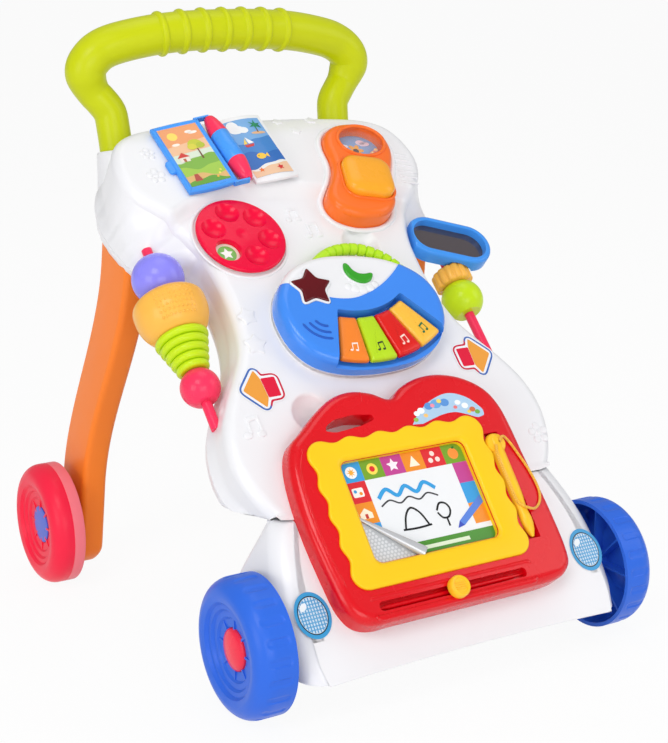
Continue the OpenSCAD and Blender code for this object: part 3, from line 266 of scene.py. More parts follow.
SILVER = plastic("curl_silver", (206, 208, 212), 0.25, 0.3, metallic=0.35)
MIRROR = plastic("mirror_film", (112, 104, 108), 0.12, 0.3, metallic=0.75)
STAR_RED = plastic("star_red", (104, 0, 14), 0.12, 0.4, 0.3, spec=0.12)
STAR_RED.node_tree.nodes["Principled BSDF"].inputs["Transmission Weight"].default_value = 0.15
BEAD_TINTS = [plastic("bead_tint_%d" % i, rgb, 0.3, 0.3)
    for i, rgb in enumerate(((240, 170, 160), (250, 214, 150), (180, 206, 240), (240, 130, 120)))]
GLASS, tree, shader = material("clear_window")
fill(tree, shader, {"Base Color": (0.96, 0.98, 1.0, 1), "Alpha": 0.06, "Coat Weight": 0.3,
    "Roughness": noise(tree, 90.0, 0.05, 0.14)})
INKS = {}


def ink(rgb):
    "Printed film of one colour, with a satin varnish."
    if rgb not in INKS:
        INKS[rgb] = plastic("ink_%02x%02x%02x" % rgb, rgb, 0.34, 0.3, 0.02)
    return INKS[rgb]


def braid():
    """Cord of two sets of strands that cross, with painted shade: the colour darkens in the grooves between strands."""
    m, nt, b = material("braided_cord")
    strands = [node(nt, "TexWave", {"Scale": 420.0, "Distortion": 1.5, "Vector": node(nt, "Mapping",
        {"Rotation": (a, a, a), "Vector": object_place(nt)})}, "Fac") for a in (0.6, -0.6)]
    high = node(nt, "Math", {0: strands[0], 1: strands[1]}, operation="MAXIMUM")
    fill(nt, b, {"Roughness": 0.7, "Sheen Weight": 0.3,
        # Painted shade: the darker gold follows the low grooves of the bump.
        "Base Color": blend(nt, linear((214, 140, 20)), linear((252, 196, 56)), high),
        "Normal": node(nt, "Bump", {"Strength": 0.6, "Distance": 0.0003, "Height": high}, "Normal")})
    return m


# ------------------------------------------------------------------ meshes
# A shape is a pair of lists, its points and its faces.
def mesh_of(name, shape, m, weld, orient):
    v = np.array([tuple(q) for q in shape[0]], dtype=float)
    if m is not None:
        a = np.array(m)
        v = v @ a[:3, :3].T + a[:3, 3]
    me = bpy.data.meshes.new(name)
    me.from_pydata((v*MM).tolist(), [], shape[1])
    if weld or orient:
        bm = bmesh.new()
        bm.from_mesh(me)
        if weld:
            bmesh.ops.remove_doubles(bm, verts=bm.verts, dist=1e-6)
        bmesh.ops.recalc_face_normals(bm, faces=bm.faces)
        bm.to_mesh(me)
        bm.free()
    return me


def shade(me, sharp):
    me.polygons.foreach_set("use_smooth", [True]*len(me.polygons))
    me.set_sharp_from_angle(angle=radians(sharp))


def make(name, shape, mat, body="frame", stands=(), m=None, sharp=38.0, weld=False, orient=False,
        marks=None):
    "A visible piece. With marks, mat is a list and marks gives the material of each face."
    me = mesh_of(name, shape, m, weld, orient)
    for one in mat if marks else [mat]:
        me.materials.append(one)
    if marks:
        me.polygons.foreach_set("material_index", marks)
    shade(me, sharp)
    o = bpy.data.objects.new(name, me)
    link(o)
    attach(o, body)
    if stands:
        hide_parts(*stands)
    return o


def loft(rings, cap0=True, cap1=True, closed=True, loop=False):
    "Faces between rings of one count; loop joins the last ring to the first."
    n, count = len(rings[0]), len(rings)
    verts = [tuple(p) for r in rings for p in r]
    faces = [(k*n + i, k*n + (i + 1) % n, (k + 1) % count*n + (i + 1) % n, (k + 1) % count*n + i)
        for k in range(count if loop else count - 1) for i in range(n if closed else n - 1)]
    if cap0:
        faces.append(tuple(range(n - 1, -1, -1)))
    if cap1:
        faces.append(tuple(range(count*n - n, count*n)))
    return verts, faces


def walls(rings, **more):
    return loft(rings, False, False, **more)


def join(shapes):
    verts, faces = [], []
    for v, f in shapes:
        faces += [tuple(i + len(verts) for i in g) for g in f]
        verts += v
    return verts, faces


def placed(shape, x, y, z):
    return [(p[0] + x, p[1] + y, p[2] + z) for p in shape[0]], shape[1]


def block(outline, h0, h1):
    return loft([[(p[0], p[1], h) for p in outline] for h in (h0, h1)])


def lathe(profile, n=96):
    return walls([[(r*cos(2*pi*i/n), r*sin(2*pi*i/n), t) for i in range(n)] for r, t in profile])


def turned(name, profile, mat, body, m, stands=(), n=96, sharp=38.0):
    return make(name, lathe(profile, n), mat, body, stands, m, sharp, weld=True)


def arc(r, h, rise, a0, n):
    "Quarter round as (inset, height), from h up."
    return [(r - r*cos(t), h + rise*sin(t)) for t in np.linspace(a0, pi/2, n)]


def rounded(h0, h1, r, k=6, foot=0.0):
    "Profile of a plate as (inset, height), with its upper edge rounded."
    p = [(foot, h0)] if foot else []
    return p + [(0.0, h0 + foot), (0.0, h1 - r)] + arc(r, h1 - r, r, pi/2/k, k) + [(r + 0.3, h1)]


def plate(name, outline, profile, mat, body, m, stands=(), spread=True):
    rings, q, done = [], outline, 0.0
    for d, h in profile:
        q = shrink(q, d - done, spread=spread) if d > done else (inset(outline, d) if d < done else q)
        done = d
        rings.append([(a[0], a[1], h) for a in q])
    return make(name, loft(rings), mat, body, stands, m)


def sweep(path, radius, n=16, up=UP, flat=1.0):
    "A tube along path; radius is a number or one per point."
    p = [Vector(q) for q in path]
    radius = [float(r) for r in radius] if hasattr(radius, "__len__") else [radius]*len(p)
    rings = []
    for i, (c, r) in enumerate(zip(p, radius)):
        t = (p[min(i + 1, len(p) - 1)] - p[max(i - 1, 0)]).normalized()
        u = (up - t*up.dot(t)).normalized()
        w = t.cross(u)
        rings.append([tuple(c + r*(cos(2*pi*j/n)*w + flat*sin(2*pi*j/n)*u)) for j in range(n)])
    return loft(rings)


def cut(o, *tools):
    "Cuts the tools from o and drops them."
    for t in tools:
        md = o.modifiers.new("cut", "BOOLEAN")
        md.operation, md.solver, md.object = "DIFFERENCE", "EXACT", t
    dg = bpy.context.evaluated_depsgraph_get()
    dg.update()
    me, old = bpy.data.meshes.new_from_object(o.evaluated_get(dg)), o.data
    o.modifiers.clear()
    o.data = me
    used = [t.data for t in tools]
    for t in tools:
        bpy.data.objects.remove(t)
    for one in used + [old]:
        bpy.data.meshes.remove(one)
    shade(me, 30)


def tool(shape, m, weld=False):
    o = bpy.data.objects.new("tool", mesh_of("tool", shape, m, weld, True))
    link(o)
    return o


def prism(outline, h0, h1, m):
    return tool(block(outline, h0, h1), m)


def paint(name, body, place, shapes):
    "Printed film: each shape is (outline, colour, layer). place(x, y, lift) gives a point."
    verts, faces, marks, mats = [], [], [], []
    for outline, rgb, layer in shapes:
        m = ink(rgb)
        if m not in mats:
            mats.append(m)
        faces.append(tuple(range(len(verts), len(verts) + len(outline))))
        verts += [tuple(place(p[0], p[1], 0.04*layer)) for p in outline]
        marks.append(mats.index(m))
    return make(name, (verts, faces), mats, body, marks=marks, sharp=30)


def flat_place(m, h):
    return lambda x, y, up: m @ Vector((x, y, h + up))


def discs(rows):
    "Print shapes from rows of n, rx, ry, x, y, colour, layer."
    return [(ring_points(rx, n, ry, at=(x, y)), rgb, layer) for n, rx, ry, x, y, rgb, layer in rows]


def note(x, y, s, deg):
    "Outlines of a pair of joined notes."
    c, q = cos(radians(deg)), sin(radians(deg))
    heads = [[(cx + 0.30*cos(t), -0.75 + 0.22*sin(t)) for t in np.linspace(0, 2*pi, 17)[:-1]] for cx in (-0.62, 0.42)]
    stems = [rect(cx - 0.08, -0.72, cx + 0.08, 0.75) for cx in (-0.36, 0.68)]
    beam = [(-0.44, 0.42), (0.76, 0.62), (0.76, 0.95), (-0.44, 0.75)]
    return [[Vector((x + s*(a*c - b*q), y + s*(a*q + b*c))) for a, b in p] for p in heads + stems + [beam]]


# ------------------------------------------------------------------ camera
cam = bpy.data.cameras.new("camera")
camera = bpy.data.objects.new("camera", cam)
link(camera)
side_turn, down = radians(-31.31), radians(14.51)
back = Vector((sin(side_turn)*cos(down), -cos(side_turn)*cos(down), sin(down)))
right = Vector((cos(side_turn), sin(side_turn), 0))
above = back.cross(right)
camera.matrix_world = Matrix(((right.x, above.x, back.x, -0.61427), (right.y, above.y, back.y, -1.01717),
    (right.z, above.z, back.z, 0.49619), (0, 0, 0, 1)))
cam.sensor_fit, cam.sensor_width, cam.lens, cam.clip_start = "AUTO", 36.0, 76.2, 0.05
bpy.context.scene.camera = camera

# ------------------------------------------------------------------ pen cord
TABLET = at_face(-8, -118)
ROUTE = [(74.5, 22, 20.6), (77.5, 25, 20.4), (80.5, 25.5, 19.6), (83.5, 23, 18.2), (86, 18.5, 17.4), (88, 12, 17.2),
    (90, 5, 17.2), (91.6, -2, 17.2), (92.8, -9, 17.2), (93.3, -16, 17.2), (92.6, -22, 17.2), (90.4, -27.2, 17.2),
    (86.8, -31, 17.4), (82.5, -33, 18), (78.5, -33, 19.6), (74.8, -31.8, 20.6), (71.4, -29.5, 20.4), (69, -25.5, 19.8),
    (68.2, -20, 19.6), (68.2, -12, 19.6), (68.2, -4, 19.6), (68.2, 4, 19.6), (68.3, 10, 19.8), (68.8, 15.5, 20.5),
    (70.3, 20, 20.6)]
route = [(TABLET @ Vector(p))*MM for p in smooth_open(ROUTE, 5)]
curve = bpy.data.curves.new("pen_cord_braid", "CURVE")
curve.dimensions, curve.bevel_depth, curve.bevel_resolution = "3D", 0.00098, 4
line = curve.splines.new("POLY")
line.points.add(len(route) - 1)
for q, p in zip(line.points, route):
    q.co = (p.x, p.y, p.z, 1)
curve.materials.append(braid())
cord = bpy.data.objects.new("pen_cord_braid", curve)
link(cord)
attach(cord, "drawing_pen")
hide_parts("pen_cord")

# ------------------------------------------------------------------ white shell
PANEL = [(40, -117), (108, -117), (118, -114), (127, -101), (134, -82), (136, -62), (132, -40), (122, -19), (109, 1),
    (98, 20), (92, 42), (90, 65), (91, 90), (92.5, 101), (94.5, 109), (96.5, 115), (99, 121), (103, 131), (111, 142),
    (120, 152), (129, 163), (135, 179), (135, 195), (131, 211), (123, 224), (111, 233), (95, 239), (72, 243), (44, 246),
    (16, 247)]
PODS = [(100, 0), (109, 0.12), (116, 0.6), (121, 0.95), (131, 1), (142, 0.82), (152, 0.57), (163, 0.3), (179, 0.1),
    (195, 0)]
STEP_LINE = [(-140, 122), (-122, 131), (-108, 140), (-90, 151), (-65, 160), (-40, 163), (0, 160), (40, 153),
    (70, 148), (90, 150), (108, 146), (122, 140), (140, 132)]
HORN = [(58, 117), (72, 119), (84, 128), (90, 142), (93, 153), (99, 166), (107, 181), (110, 195), (107, 208), (97, 217),
    (82, 220), (66, 218), (54, 209), (49, 196), (48, 183), (45, 172), (38, 160), (30, 149), (27, 138), (31, 127),
    (44, 119)]
horn_edge = smooth_closed(HORN, 8)
EDGE_R, HEAD_RAISE, POD_SWELL = 8.0, 8.0, 33
BASE_TOP = ARC_Z + FACE_R*cos(slope(-117)) - 1
DIAL_X, DIAL_S = -58, 119
PITS = [(-62, -40), (44, 103)]
panel_right = smooth_open(PANEL, 6)
panel_outline = panel_right + [Vector((-p.x, p.y)) for p in reversed(panel_right)]


def lift(x, s):
    "Height of the white face over the arc: the raised head, falling off at the top."
    edge = knots(STEP_LINE, x)
    return HEAD_RAISE*step(edge - 7, edge + 7, s) - 7*np.maximum(0.0, (s - 215)/32)**2


def front_depth(s):
    return 33 + 11*step(120, 190, s) - 12*step(-80, -117, s)


def side_ring(q, d, depth):
    "Ring round the shell: q of the pods' swell, inset d, at depth below the face."
    swollen = [Vector((p.x + copysign(1, p.x)*q*POD_SWELL*knots(PODS, p.y), p.y)) for p in panel_outline]
    pts = [on(p.x, p.y, depth(p.x, p.y)) for p in inset(swollen, d)]
    return [(p.x, p.y, max(p.z, BASE_TOP + 0.3)) for p in pts]


def near_line(px, py, outline):
    "Distance to a closed outline."
    best = np.full(px.shape, 1e9)
    for p, q in zip(outline, np.roll(outline, -1, axis=0)):
        d = q - p
        t = np.clip(((px - p[0])*d[0] + (py - p[1])*d[1])/max(float(d @ d), 1e-9), 0, 1)
        best = np.minimum(best, (px - p[0] - t*d[0])**2 + (py - p[1] - t*d[1])**2)
    return np.sqrt(best)


def within(px, py, outline):
    inside = np.zeros(px.shape, dtype=bool)
    for p, q in zip(outline, np.roll(outline, -1, axis=0)):
        inside ^= ((p[1] > py) != (q[1] > py)) & (px < p[0] + (py - p[1])*(q[0] - p[0])/(q[1] - p[1] + 1e-9))
    return inside


def panel_skin():
    "The face as a grid: rounded edge, raised head, hollow under the horn and dial, and two finger pits."
    rows = np.concatenate([np.linspace(-117, -100, 12), np.linspace(-98.6, 228, 230), np.linspace(229, 247, 30)])
    half = np.interp(rows, [-117.001] + [p.y for p in panel_right[1:]], [p.x for p in panel_right])
    half[0] = 108
    near = np.array([0, 0.25, 0.7, 1.3, 2.1, 3.1, 4.3, 5.8, 7.6])
    pts = []
    for w in half:
        k = min(1.0, w/20)
        left = -w + near*k
        pts.append(np.concatenate([left, np.linspace(-1, 1, 150)*(w - 9.4*k), -left[::-1]]))
    x = np.array(pts)
    s = np.repeat(rows[:, None], x.shape[1], axis=1)
    d = near_line(x, s, np.array([(p.x, p.y) for p in panel_outline]))
    d[s < -112] = np.maximum(d[s < -112], np.minimum(136 - np.abs(x[s < -112]), 8))
    u = np.clip(d, 0, EDGE_R)
    h = lift(x, s) - (EDGE_R - np.sqrt(np.maximum(EDGE_R**2 - (EDGE_R - u)**2, 0)))
    horn = np.array([(p.x, p.y) for p in horn_edge[::2]])
    h = np.where(within(x, s, horn) & (near_line(x, s, horn) > 2.5), -14.0, h)
    h = np.where(np.hypot(x - DIAL_X, s - DIAL_S) < 33.5, np.minimum(h, 0.2), h)
    for px, ps in PITS:
        r2 = (x - px)**2 + (s - ps)**2
        h = np.where(r2 < 256, np.minimum(h, 12 - np.sqrt(np.maximum(400 - r2, 0))), h)
    a = slope(s)
    y, z = ARC_Y - (FACE_R + h)*np.sin(a), np.maximum(ARC_Z + (FACE_R + h)*np.cos(a), BASE_TOP + 0.3)
    return walls(np.stack([x, y, z], axis=-1).tolist(), closed=False)


make("panel_face", panel_skin(), WHITE, stands=("front_panel",), sharp=60)
wall = []
for t in np.linspace(0, 1, 9):
    wall.append(side_ring(sin(pi/2*t)*0.35 + t*0.65, 0,
        lambda x, s: (lift(x, s) - EDGE_R)*(1 - t) - 0.72*front_depth(s)*t))
wall += [side_ring(1, -1.2, lambda x, s: -0.86*front_depth(s)), side_ring(1, -3, lambda x, s: -front_depth(s)),
    side_ring(1, -1, lambda x, s: -front_depth(s) - 0.2)]
make("panel_side", walls(wall), WHITE, sharp=50)

tray = [side_ring(1, -2.6, lambda x, s: -front_depth(s) - 0.5), side_ring(1, -3, lambda x, s: -front_depth(s) - 0.8)]
for t in np.linspace(0.1, 1, 8):
    tray.append(side_ring(1, 7 - 10*cos(t*pi/2), lambda x, s: -front_depth(s) - 0.8 - 13.4*sin(t*pi/2)))
tray.append(side_ring(1, 8, lambda x, s: -front_depth(s) - 14.2))
v, f = walls(tray)
n, k = len(tray[0]), len(v) - len(tray[0])
f += [(k + i, k + i + 1, k + n - 2 - i, k + n - 1 - i) for i in range(n//2 - 1)]
make("rear_tray", (v, f), WHITE, stands=("rear_cover",), sharp=40)

FOOT = Vector((102.5, AXLE_MID + 152, 322))
for side, word in SIDES:
    turned("collar_" + word, [(19.2, -12), (19.1, -4), (17.4, 12), (16.6, 25), (16.2, 27.6), (15.4, 28.8), (14.4, 29),
        (13.8, 28.4), (13.7, 26)], WHITE, "frame", move((side*FOOT.x, FOOT.y, FOOT.z)) @ turn(-11, "X"))


def emboss(name, outlines, up, soft=1.0):
    "Low rounded relief on the face, one for each outline."
    shapes = []
    for p in outlines:
        profile = ((-0.3, -0.3), (0, 0.1), (0.25*soft, up*0.6), (0.55*soft, up*0.92), (0.85*soft, up))
        shapes.append(loft([[tuple(on(q.x, q.y, lift(q.x, q.y) + h)) for q in (shrink(p, d, 0.12) if d else p)]
            for d, h in profile], False, True))
    make(name, join(shapes), WHITE, sharp=60)


def note_shapes(x, s, k):
    heads = [ring_points(0.34*k, 24, 0.28*k, at=(x + cx*k, s - 0.66*k)) for cx in (-0.58, 0.5)]
    bar = [(-0.36, -0.6), (-0.15, -0.6), (-0.15, 0.38), (0.51, 0.5), (0.51, -0.6), (0.72, -0.6), (0.72, 0.86),
        (-0.36, 0.74)]
    return heads + [soften([Vector((x + a*k, s + b*k)) for a, b in bar], 0.6, 0.5)]


def flower_shapes(x, s, r):
    return [ring_points(0.36*r, 20, at=(x + 0.66*r*cos(b), s + 0.66*r*sin(b)))
        for b in np.linspace(0.3, 6.58, 6)[:-1]] \
        + [ring_points(0.27*r, 16, at=(x, s))]


emboss("relief_stars", [soften(star(r*1.15, 0.56, 5, (x, s), first), 4, 0.5) for r, x, s, first in
    ((8, -81, 47, 100), (9, -84, 22, 80), (5.5, 57, 236, 80), (5, 26, 237, 100), (5, 36, 222, 60))], 0.9)
emboss("relief_notes", note_shapes(-112, -43, 10) + note_shapes(7, 121, 9) + note_shapes(-4, 138, 8), 0.8, 0.5)
emboss("relief_flowers", flower_shapes(120, -88, 9) + flower_shapes(-106, 182, 8) + flower_shapes(-104, 206, 6.5), 0.9)
for name, pts, r in (("horn_rim", shrink(even(horn_edge, 2.0), -2.6), 2.3),
        ("dial_rim", ring_points(38.2, 110, at=(DIAL_X, DIAL_S)), 1.4)):
    path = [on(p.x, p.y, lift(p.x, p.y) + 0.1) for p in pts]
    rings = []
    for i, c in enumerate(path):
        t = (path[(i + 1) % len(path)] - path[i - 1]).normalized()
        up = Matrix.Rotation(slope(pts[i].y), 3, "X") @ UP
        w = t.cross(up).normalized()
        rings.append([tuple(c + r*cos(a)*w + 0.62*r*sin(a)*up) for a in np.linspace(0, 2*pi, 16, endpoint=False)])
    make(name, walls(rings, loop=True), WHITE, sharp=60, orient=True)
ribs = []
for k in range(6):
    line = [(106 + k*0.8 + t*(17 - abs(k - 2.5)), 156 + 6.4*k - t*4.5) for t in (0, 0.1, 0.35, 0.65, 0.9, 1)]
    ribs.append(sweep([on(x, s, lift(x, s) + 0.1) for x, s in line], [0.66, 1.1, 1.1, 1.1, 1.1, 0.66], 8,
        Vector((0, -0.7, 0.7)), 0.7))
make("relief_ribs", join(ribs), WHITE, sharp=60)

# ------------------------------------------------------------------ base
BASE_HALF, BASE_CLEAR, BASE_DEEP = 138.0, 36.5, 112
base_back = on(0, -232).y + BASE_DEEP


def base_ring(z, g):
    "Outline of the base at height z, inset by g."
    w = BASE_HALF - 18*max(0.0, (z - 75)/(BASE_TOP - 75))**1.6 - 3*step(50, BASE_CLEAR, z) - g
    fy = ARC_Y - sqrt((FACE_R - g)**2 - (z - ARC_Z)**2)
    b = base_back - g - 22*step(50, BASE_TOP, z)
    r = max(6.0, 24 - 8*step(BASE_CLEAR, BASE_TOP, z) - g)
    pts = []
    for q in range(4):
        rr = r if q in (0, 3) else 8
        cx, cy = (w - rr) if q < 2 else (rr - w), (b - rr) if q in (1, 2) else (fy + rr)
        pts += [(cx + rr*cos(radians(-90 + q*90 + j*7.5)), cy + rr*sin(radians(-90 + q*90 + j*7.5))) for j in range(13)]
    pts += [(t*w, fy) for t in np.linspace(-0.9, 0.9, 19)]
    return [(x, y, z - 3.5*step(60, BASE_CLEAR, z)*(x/w)**2) for x, y in pts]


rings = [base_ring(BASE_CLEAR + z, g) for z, g in ((4, 2.6), (0.3, 2.4), (0, 1.6), (0.3, 0.5), (1, 0))]
rings += [base_ring(z, 0) for z in np.linspace(BASE_CLEAR + 3, BASE_TOP - 1.5, 22)]
rings += [base_ring(BASE_TOP + z, g) for z, g in ((-0.5, 0.3), (0, 1.2), (0.05, 4))]
make("base_skin", loft(rings, False, True), WHITE, stands=("base_shell",), sharp=40)
for side, word in SIDES:
    turned("base_boss_" + word, [(10.5, -14), (10, 0), (9.7, 4.8), (9, 5), (3.2, 5)], WHITE, "frame",
        on_axle(side, FRONT_Y, BASE_HALF), n=64)

# ------------------------------------------------------------------ push handle
ARM = [(0, 0, 0), (0, 4.5, 23), (0.9, 9.2, 47), (2.4, 11.5, 59), (8.7, 13.5, 68.4), (13.7, 15.3, 74.5),
    (18.4, 15.6, 83.5), (20.7, 14.5, 92.7), (16.5, 13.5, 101), (7, 13.5, 108.5)]
BAR = [(94, 163.5, 436), (64, 160.5, 441.5), (32, 158.5, 444)]
BAR_Z, RING_PITCH, RING_N, RING_MID, RING_HALF = 444.5, 18.3, 7, -5.8, 2.6
half = [FOOT + Vector(p) for p in ARM] + [Vector((x, AXLE_MID + y, z)) for x, y, z in BAR]
path = smooth_open(half + [Vector((0, AXLE_MID + 158, BAR_Z))] + [Vector((-p.x, p.y, p.z)) for p in reversed(half)], 3)
path = smooth_open(path, 4)
path = [a + (b - a)*j/k for a, b in zip(path[:-1], path[1:]) for k in (5 if a.z > 430 else 1,)
    for j in range(k)] + [path[-1]]
radii = []
for p in path:
    k = (p.x - RING_MID)/RING_PITCH
    near = abs(k - round(k))*RING_PITCH
    ring = p.z > 430 and abs(k) < RING_N/2
    radii.append(13.4 + 2.9*step(394, 412, p.z) + (2.0*sqrt(max(0.0, 1 - (near/RING_HALF)**2)) if ring else 0))
make("push_handle", sweep(path, radii, 40, Vector((0, 1, 0))), LIME, stands=("handle",), sharp=60)

# ------------------------------------------------------------------ legs
LEG_TOP_Y, LEG_X = AXLE_MID + 90, 151
for side, word in SIDES:
    rings = []
    for z in [15, 15.6, 16.6, 18, 20, 22.5, 25, 28] + list(np.linspace(32, 288, 48)):
        e = max(0.0, 1 - (z - 15)/15)**2*11
        w = 47 + 4*step(110, 240, z) - 2*e
        cx, cy = LEG_X - (z - 15)*24/270, LEG_TOP_Y + (REAR_Y - LEG_TOP_Y)*step(271, 81, z)
        rings.append([(side*(cx + p.x), cy + p.y, z) for p in box_points(21 - e*0.35, w, 5, 6)])
    make("leg_skin_" + word, loft(rings), ORANGE, stands=("leg_" + word,), sharp=45, orient=True)
    turned("leg_boss_" + word, [(10.6, 0), (10.2, 8), (9.8, 15.8), (9.2, 16.2), (3.2, 16.2)], ORANGE, "frame",
        on_axle(side, REAR_Y, LEG_X), n=64)

# ------------------------------------------------------------------ wheels
HUB_R = 15


def wheel_profile(w, t0):
    "Tyre of width w from t0: tread, rounded side, stepped rim, hub bore and the hollow behind."
    r, s = WHEEL_R, w*0.45
    c = w - s - 1
    out = [(r, t) for t in np.linspace(t0, c, 22)]
    out += [(r - 12 + 12*cos(radians(a)), c + (s + 1)*sin(radians(a))*0.97) for a in range(6, 91, 6)]
    out += [(q, w*k) for q, k in ((33.5, 0.95), (31.6, 0.87), (28.5, 0.865), (26.8, 0.8), (23, 0.795), (21.3, 0.74),
        (15.3, 0.72))]
    out += [(15.3, w*0.72 - 1.5), (3.06, w*0.72 - 1.5), (3.06, 2.5), (8, 2.5), (8, w*0.72 - 4.5), (22.5, w*0.72 - 4),
        (28, w*0.8 - 3), (33, w*0.87 - 2.6), (38, w*0.9 - 2.6)]
    return out + [(r - 12 + 9*cos(radians(a)), c + (s - 2.4)*sin(radians(a))*0.97)
        for a in range(75, -1, -15)] + [(r - 3, t0), (r, t0)]


def wheel(word, end, side, y, x, w, t0, mat, marks, dome, cap_mat):
    "Tyre with ribs behind and marks grooves in its tread, and the hub cap."
    body, m, node = "%s_%s_wheel" % (end, word), on_axle(side, y, x), "%s_wheel_%s" % (end, word)
    verts, faces = lathe(wheel_profile(w, t0), 320)
    a = np.array(verts)
    if marks:
        at, rad = np.arctan2(a[:, 1], a[:, 0])/(2*pi)*marks, np.hypot(a[:, 0], a[:, 1])
        k = np.abs(at - np.round(at))*2*pi*WHEEL_R/marks
        half, mid, r0 = 8.2, t0 + w*0.42, 2.6
        d = np.hypot(k, np.maximum(np.abs(a[:, 2] - mid) - (half - r0), 0))
        deep = np.clip((r0 + 0.45 - d)/0.9, 0, 1)*(rad > WHEEL_R - 6)
        a[:, :2] *= (1 - 0.75*deep/np.maximum(rad, 1))[:, None]
    name = "%s_tyre_%s" % (end, word)
    make(name, (a.tolist(), faces), mat, body, (node,), m, 32, weld=True)
    ribs = []
    for q in range(8):
        c, s = cos(radians(q*45)), sin(radians(q*45))
        ribs.append(block([(u*c - v*s, u*s + v*c) for u, v in rect(7.6, -0.8, WHEEL_R - 6.6, 0.8)], w*0.3, w*0.76))
    make(name + "_ribs", join(ribs), mat, body, m=m)
    b = w*0.72 - 1.45
    turned("%s_hub_%s" % (end, word), [(0, b + 1.2), (4, b + 1.2), (4, b), (HUB_R, b), (HUB_R, b + 2)]
        + [(HUB_R*cos(t), b + 2 + dome*sin(t)) for t in np.linspace(0.1, pi/2, 12)], cap_mat, body, m,
        ("%s_cap_%s" % (end, word),))


for side, word in SIDES:
    wheel(word, "front", side, FRONT_Y, 141.5, 29, 0, WHEEL_BLUE, 22, 4.0, CAP_RED)
    wheel(word, "rear", side, REAR_Y, 165.3, 26, 9.5, WHEEL_RED, 0, 0.8, CAP_BLUE)
    turned("rear_band_" + word, [(WHEEL_R - r, t) for r, t in ((6, 0), (1.2, 0), (0.3, 0.4), (0, 1.2), (0, 9.2),
        (0.3, 9.5), (3, 9.5), (6, 1.5), (6, 0))], RING_PINK, "rear_%s_wheel" % word, on_axle(side, REAR_Y, 165.3),
        ("rear_ring_" + word,), n=160)

# ------------------------------------------------------------------ bead strings
# Each bead's middle along its rod follows from the last one's, with BEAD_GAP between them.
BORE, BEAD_GAP = 4.06, 0.3
BALL_T = 47.0
BARREL_T = BALL_T - 20*0.86 - BEAD_GAP - 17
CONE_T = BARREL_T - 17 - BEAD_GAP - 15.5
SMALL_T = CONE_T - 15.5 - BEAD_GAP - 15*0.85
GEAR_T = 16
LIME_T = GEAR_T - 7 - BEAD_GAP - 17*0.8


def bead(name, r, flat, mat, body, side, t, node):
    top = asin(flat)
    ball = [(r*cos(a), r*sin(a)) for a in np.linspace(-top, top, 33)]
    turned(name, [(BORE, -r*flat)] + ball + [(BORE, r*flat)], mat, body, along_rod(side, t), (node,))


bead("bead_ball", 20, 0.86, VIOLET, "left_ball", -1, BALL_T, "left_bead_ball")
BARREL = [(-17, 17.5), (-16.6, 18.6), (-15, 20.5), (-13, 22.6), (-9, 25), (-5, 26.6), (0, 27.8), (5, 28), (9, 27.9),
    (12, 27.2), (14.5, 25.4), (16.4, 23), (17, 21.5)]
turned("bead_barrel", [(BORE, -17), (15, -17)] + [(p.y, p.x) for p in smooth_open(BARREL, 3)] + [(15, 17), (BORE, 17)],
    AMBER, "left_barrel", along_rod(-1, BARREL_T), ("left_bead_barrel",), 128, 60)
shapes = []
for row in range(6):
    for col in range(9):
        a, t = radians(-8 + col*7.4), -9.5 + row*3.9
        c = Vector((knots(BARREL, t)*cos(a), knots(BARREL, t)*sin(a), t))
        q = c.xy.to_3d().normalized().to_track_quat("Z", "Y").to_matrix()
        v, f = lathe([(1.25, -0.4), (1.1, 0.3), (0.6, 0.7), (0, 0.8)], 10)
        shapes.append(([tuple(c + q @ Vector(p)) for p in v], f))
make("barrel_bumps", join(shapes), AMBER, "left_barrel", m=along_rod(-1, BARREL_T) @ turn(-125),
    weld=True)
cone = [(BORE, 0)]
for k in range(5):
    r = 20.5*(0.62 + 0.38*k/4)
    cone += [(r - 3 + 3*cos(a), 6.2*(k + 0.5 + 0.499*sin(a))) for a in np.linspace(-pi/2, pi/2, 13)]
turned("bead_cone", cone + [(BORE, 31)], BEAD_LIME, "left_cone", along_rod(-1, CONE_T - 15.5), ("left_bead_cone",),
    128, 60)
bead("bead_small", 15, 0.85, PINK, "left_small", -1, SMALL_T, "left_bead_small")
bead("bead_lime", 17, 0.8, BEAD_LIME, "right_ball", 1, LIME_T, "right_bead_ball")
rings = []
for d, t in ((None, -7), (1.6, -7), (0.5, -6.2), (0, -5.2), (0, 5.2), (0.5, 6.2), (1.6, 7), (None, 7)):
    rings.append([(r*cos(a), r*sin(a), t) for a in np.linspace(0, 2*pi, 168, endpoint=False)
        for r in [BORE if d is None else 16 - d - 1.5*(0.5 - 0.5*cos(14*a))**2]])
make("bead_gear", walls(rings), AMBER, "right_gear", ("right_bead_gear",), along_rod(1, GEAR_T), sharp=60, orient=True)

# ------------------------------------------------------------------ mirror
MIRROR_M = at_face(127, 97, -22)


def stadium(length, r):
    k = 28
    return [Vector((q*length + r*cos(radians(180*j/k - q*90)), r*sin(radians(180*j/k - q*90))))
        for q in (1, -1) for j in range(k + 1)]


rings = [[(p[0], p[1], h) for p in inset(stadium(17, 20), d)]
    for d, h in [(0.8, -12), (0, -11.2), (0, -2)] + arc(3, -2, 3, 0.25, 6)]
rings += [[(p[0], p[1], h) for p in inset(stadium(17, 15), d)]
    for d, h in [(-0.6, 1.0), (-0.2, 0.8), (0, 0.2), (0.2, -6), (14.5, -6.2)]]
mirror = make("mirror_rim", walls(rings, loop=True), MIRROR_BLUE, "frame", ("mirror_frame",), MIRROR_M)
cut(mirror, tool(lathe([(0, -40), (16.6, -40), (16.6, 15), (0, 15)], 48), along_rod(1, GEAR_T - 7), weld=True),
    prism(vectors(inset(panel_outline, -1.5), 0, -97), -40, 40, at_face(0, 97)))

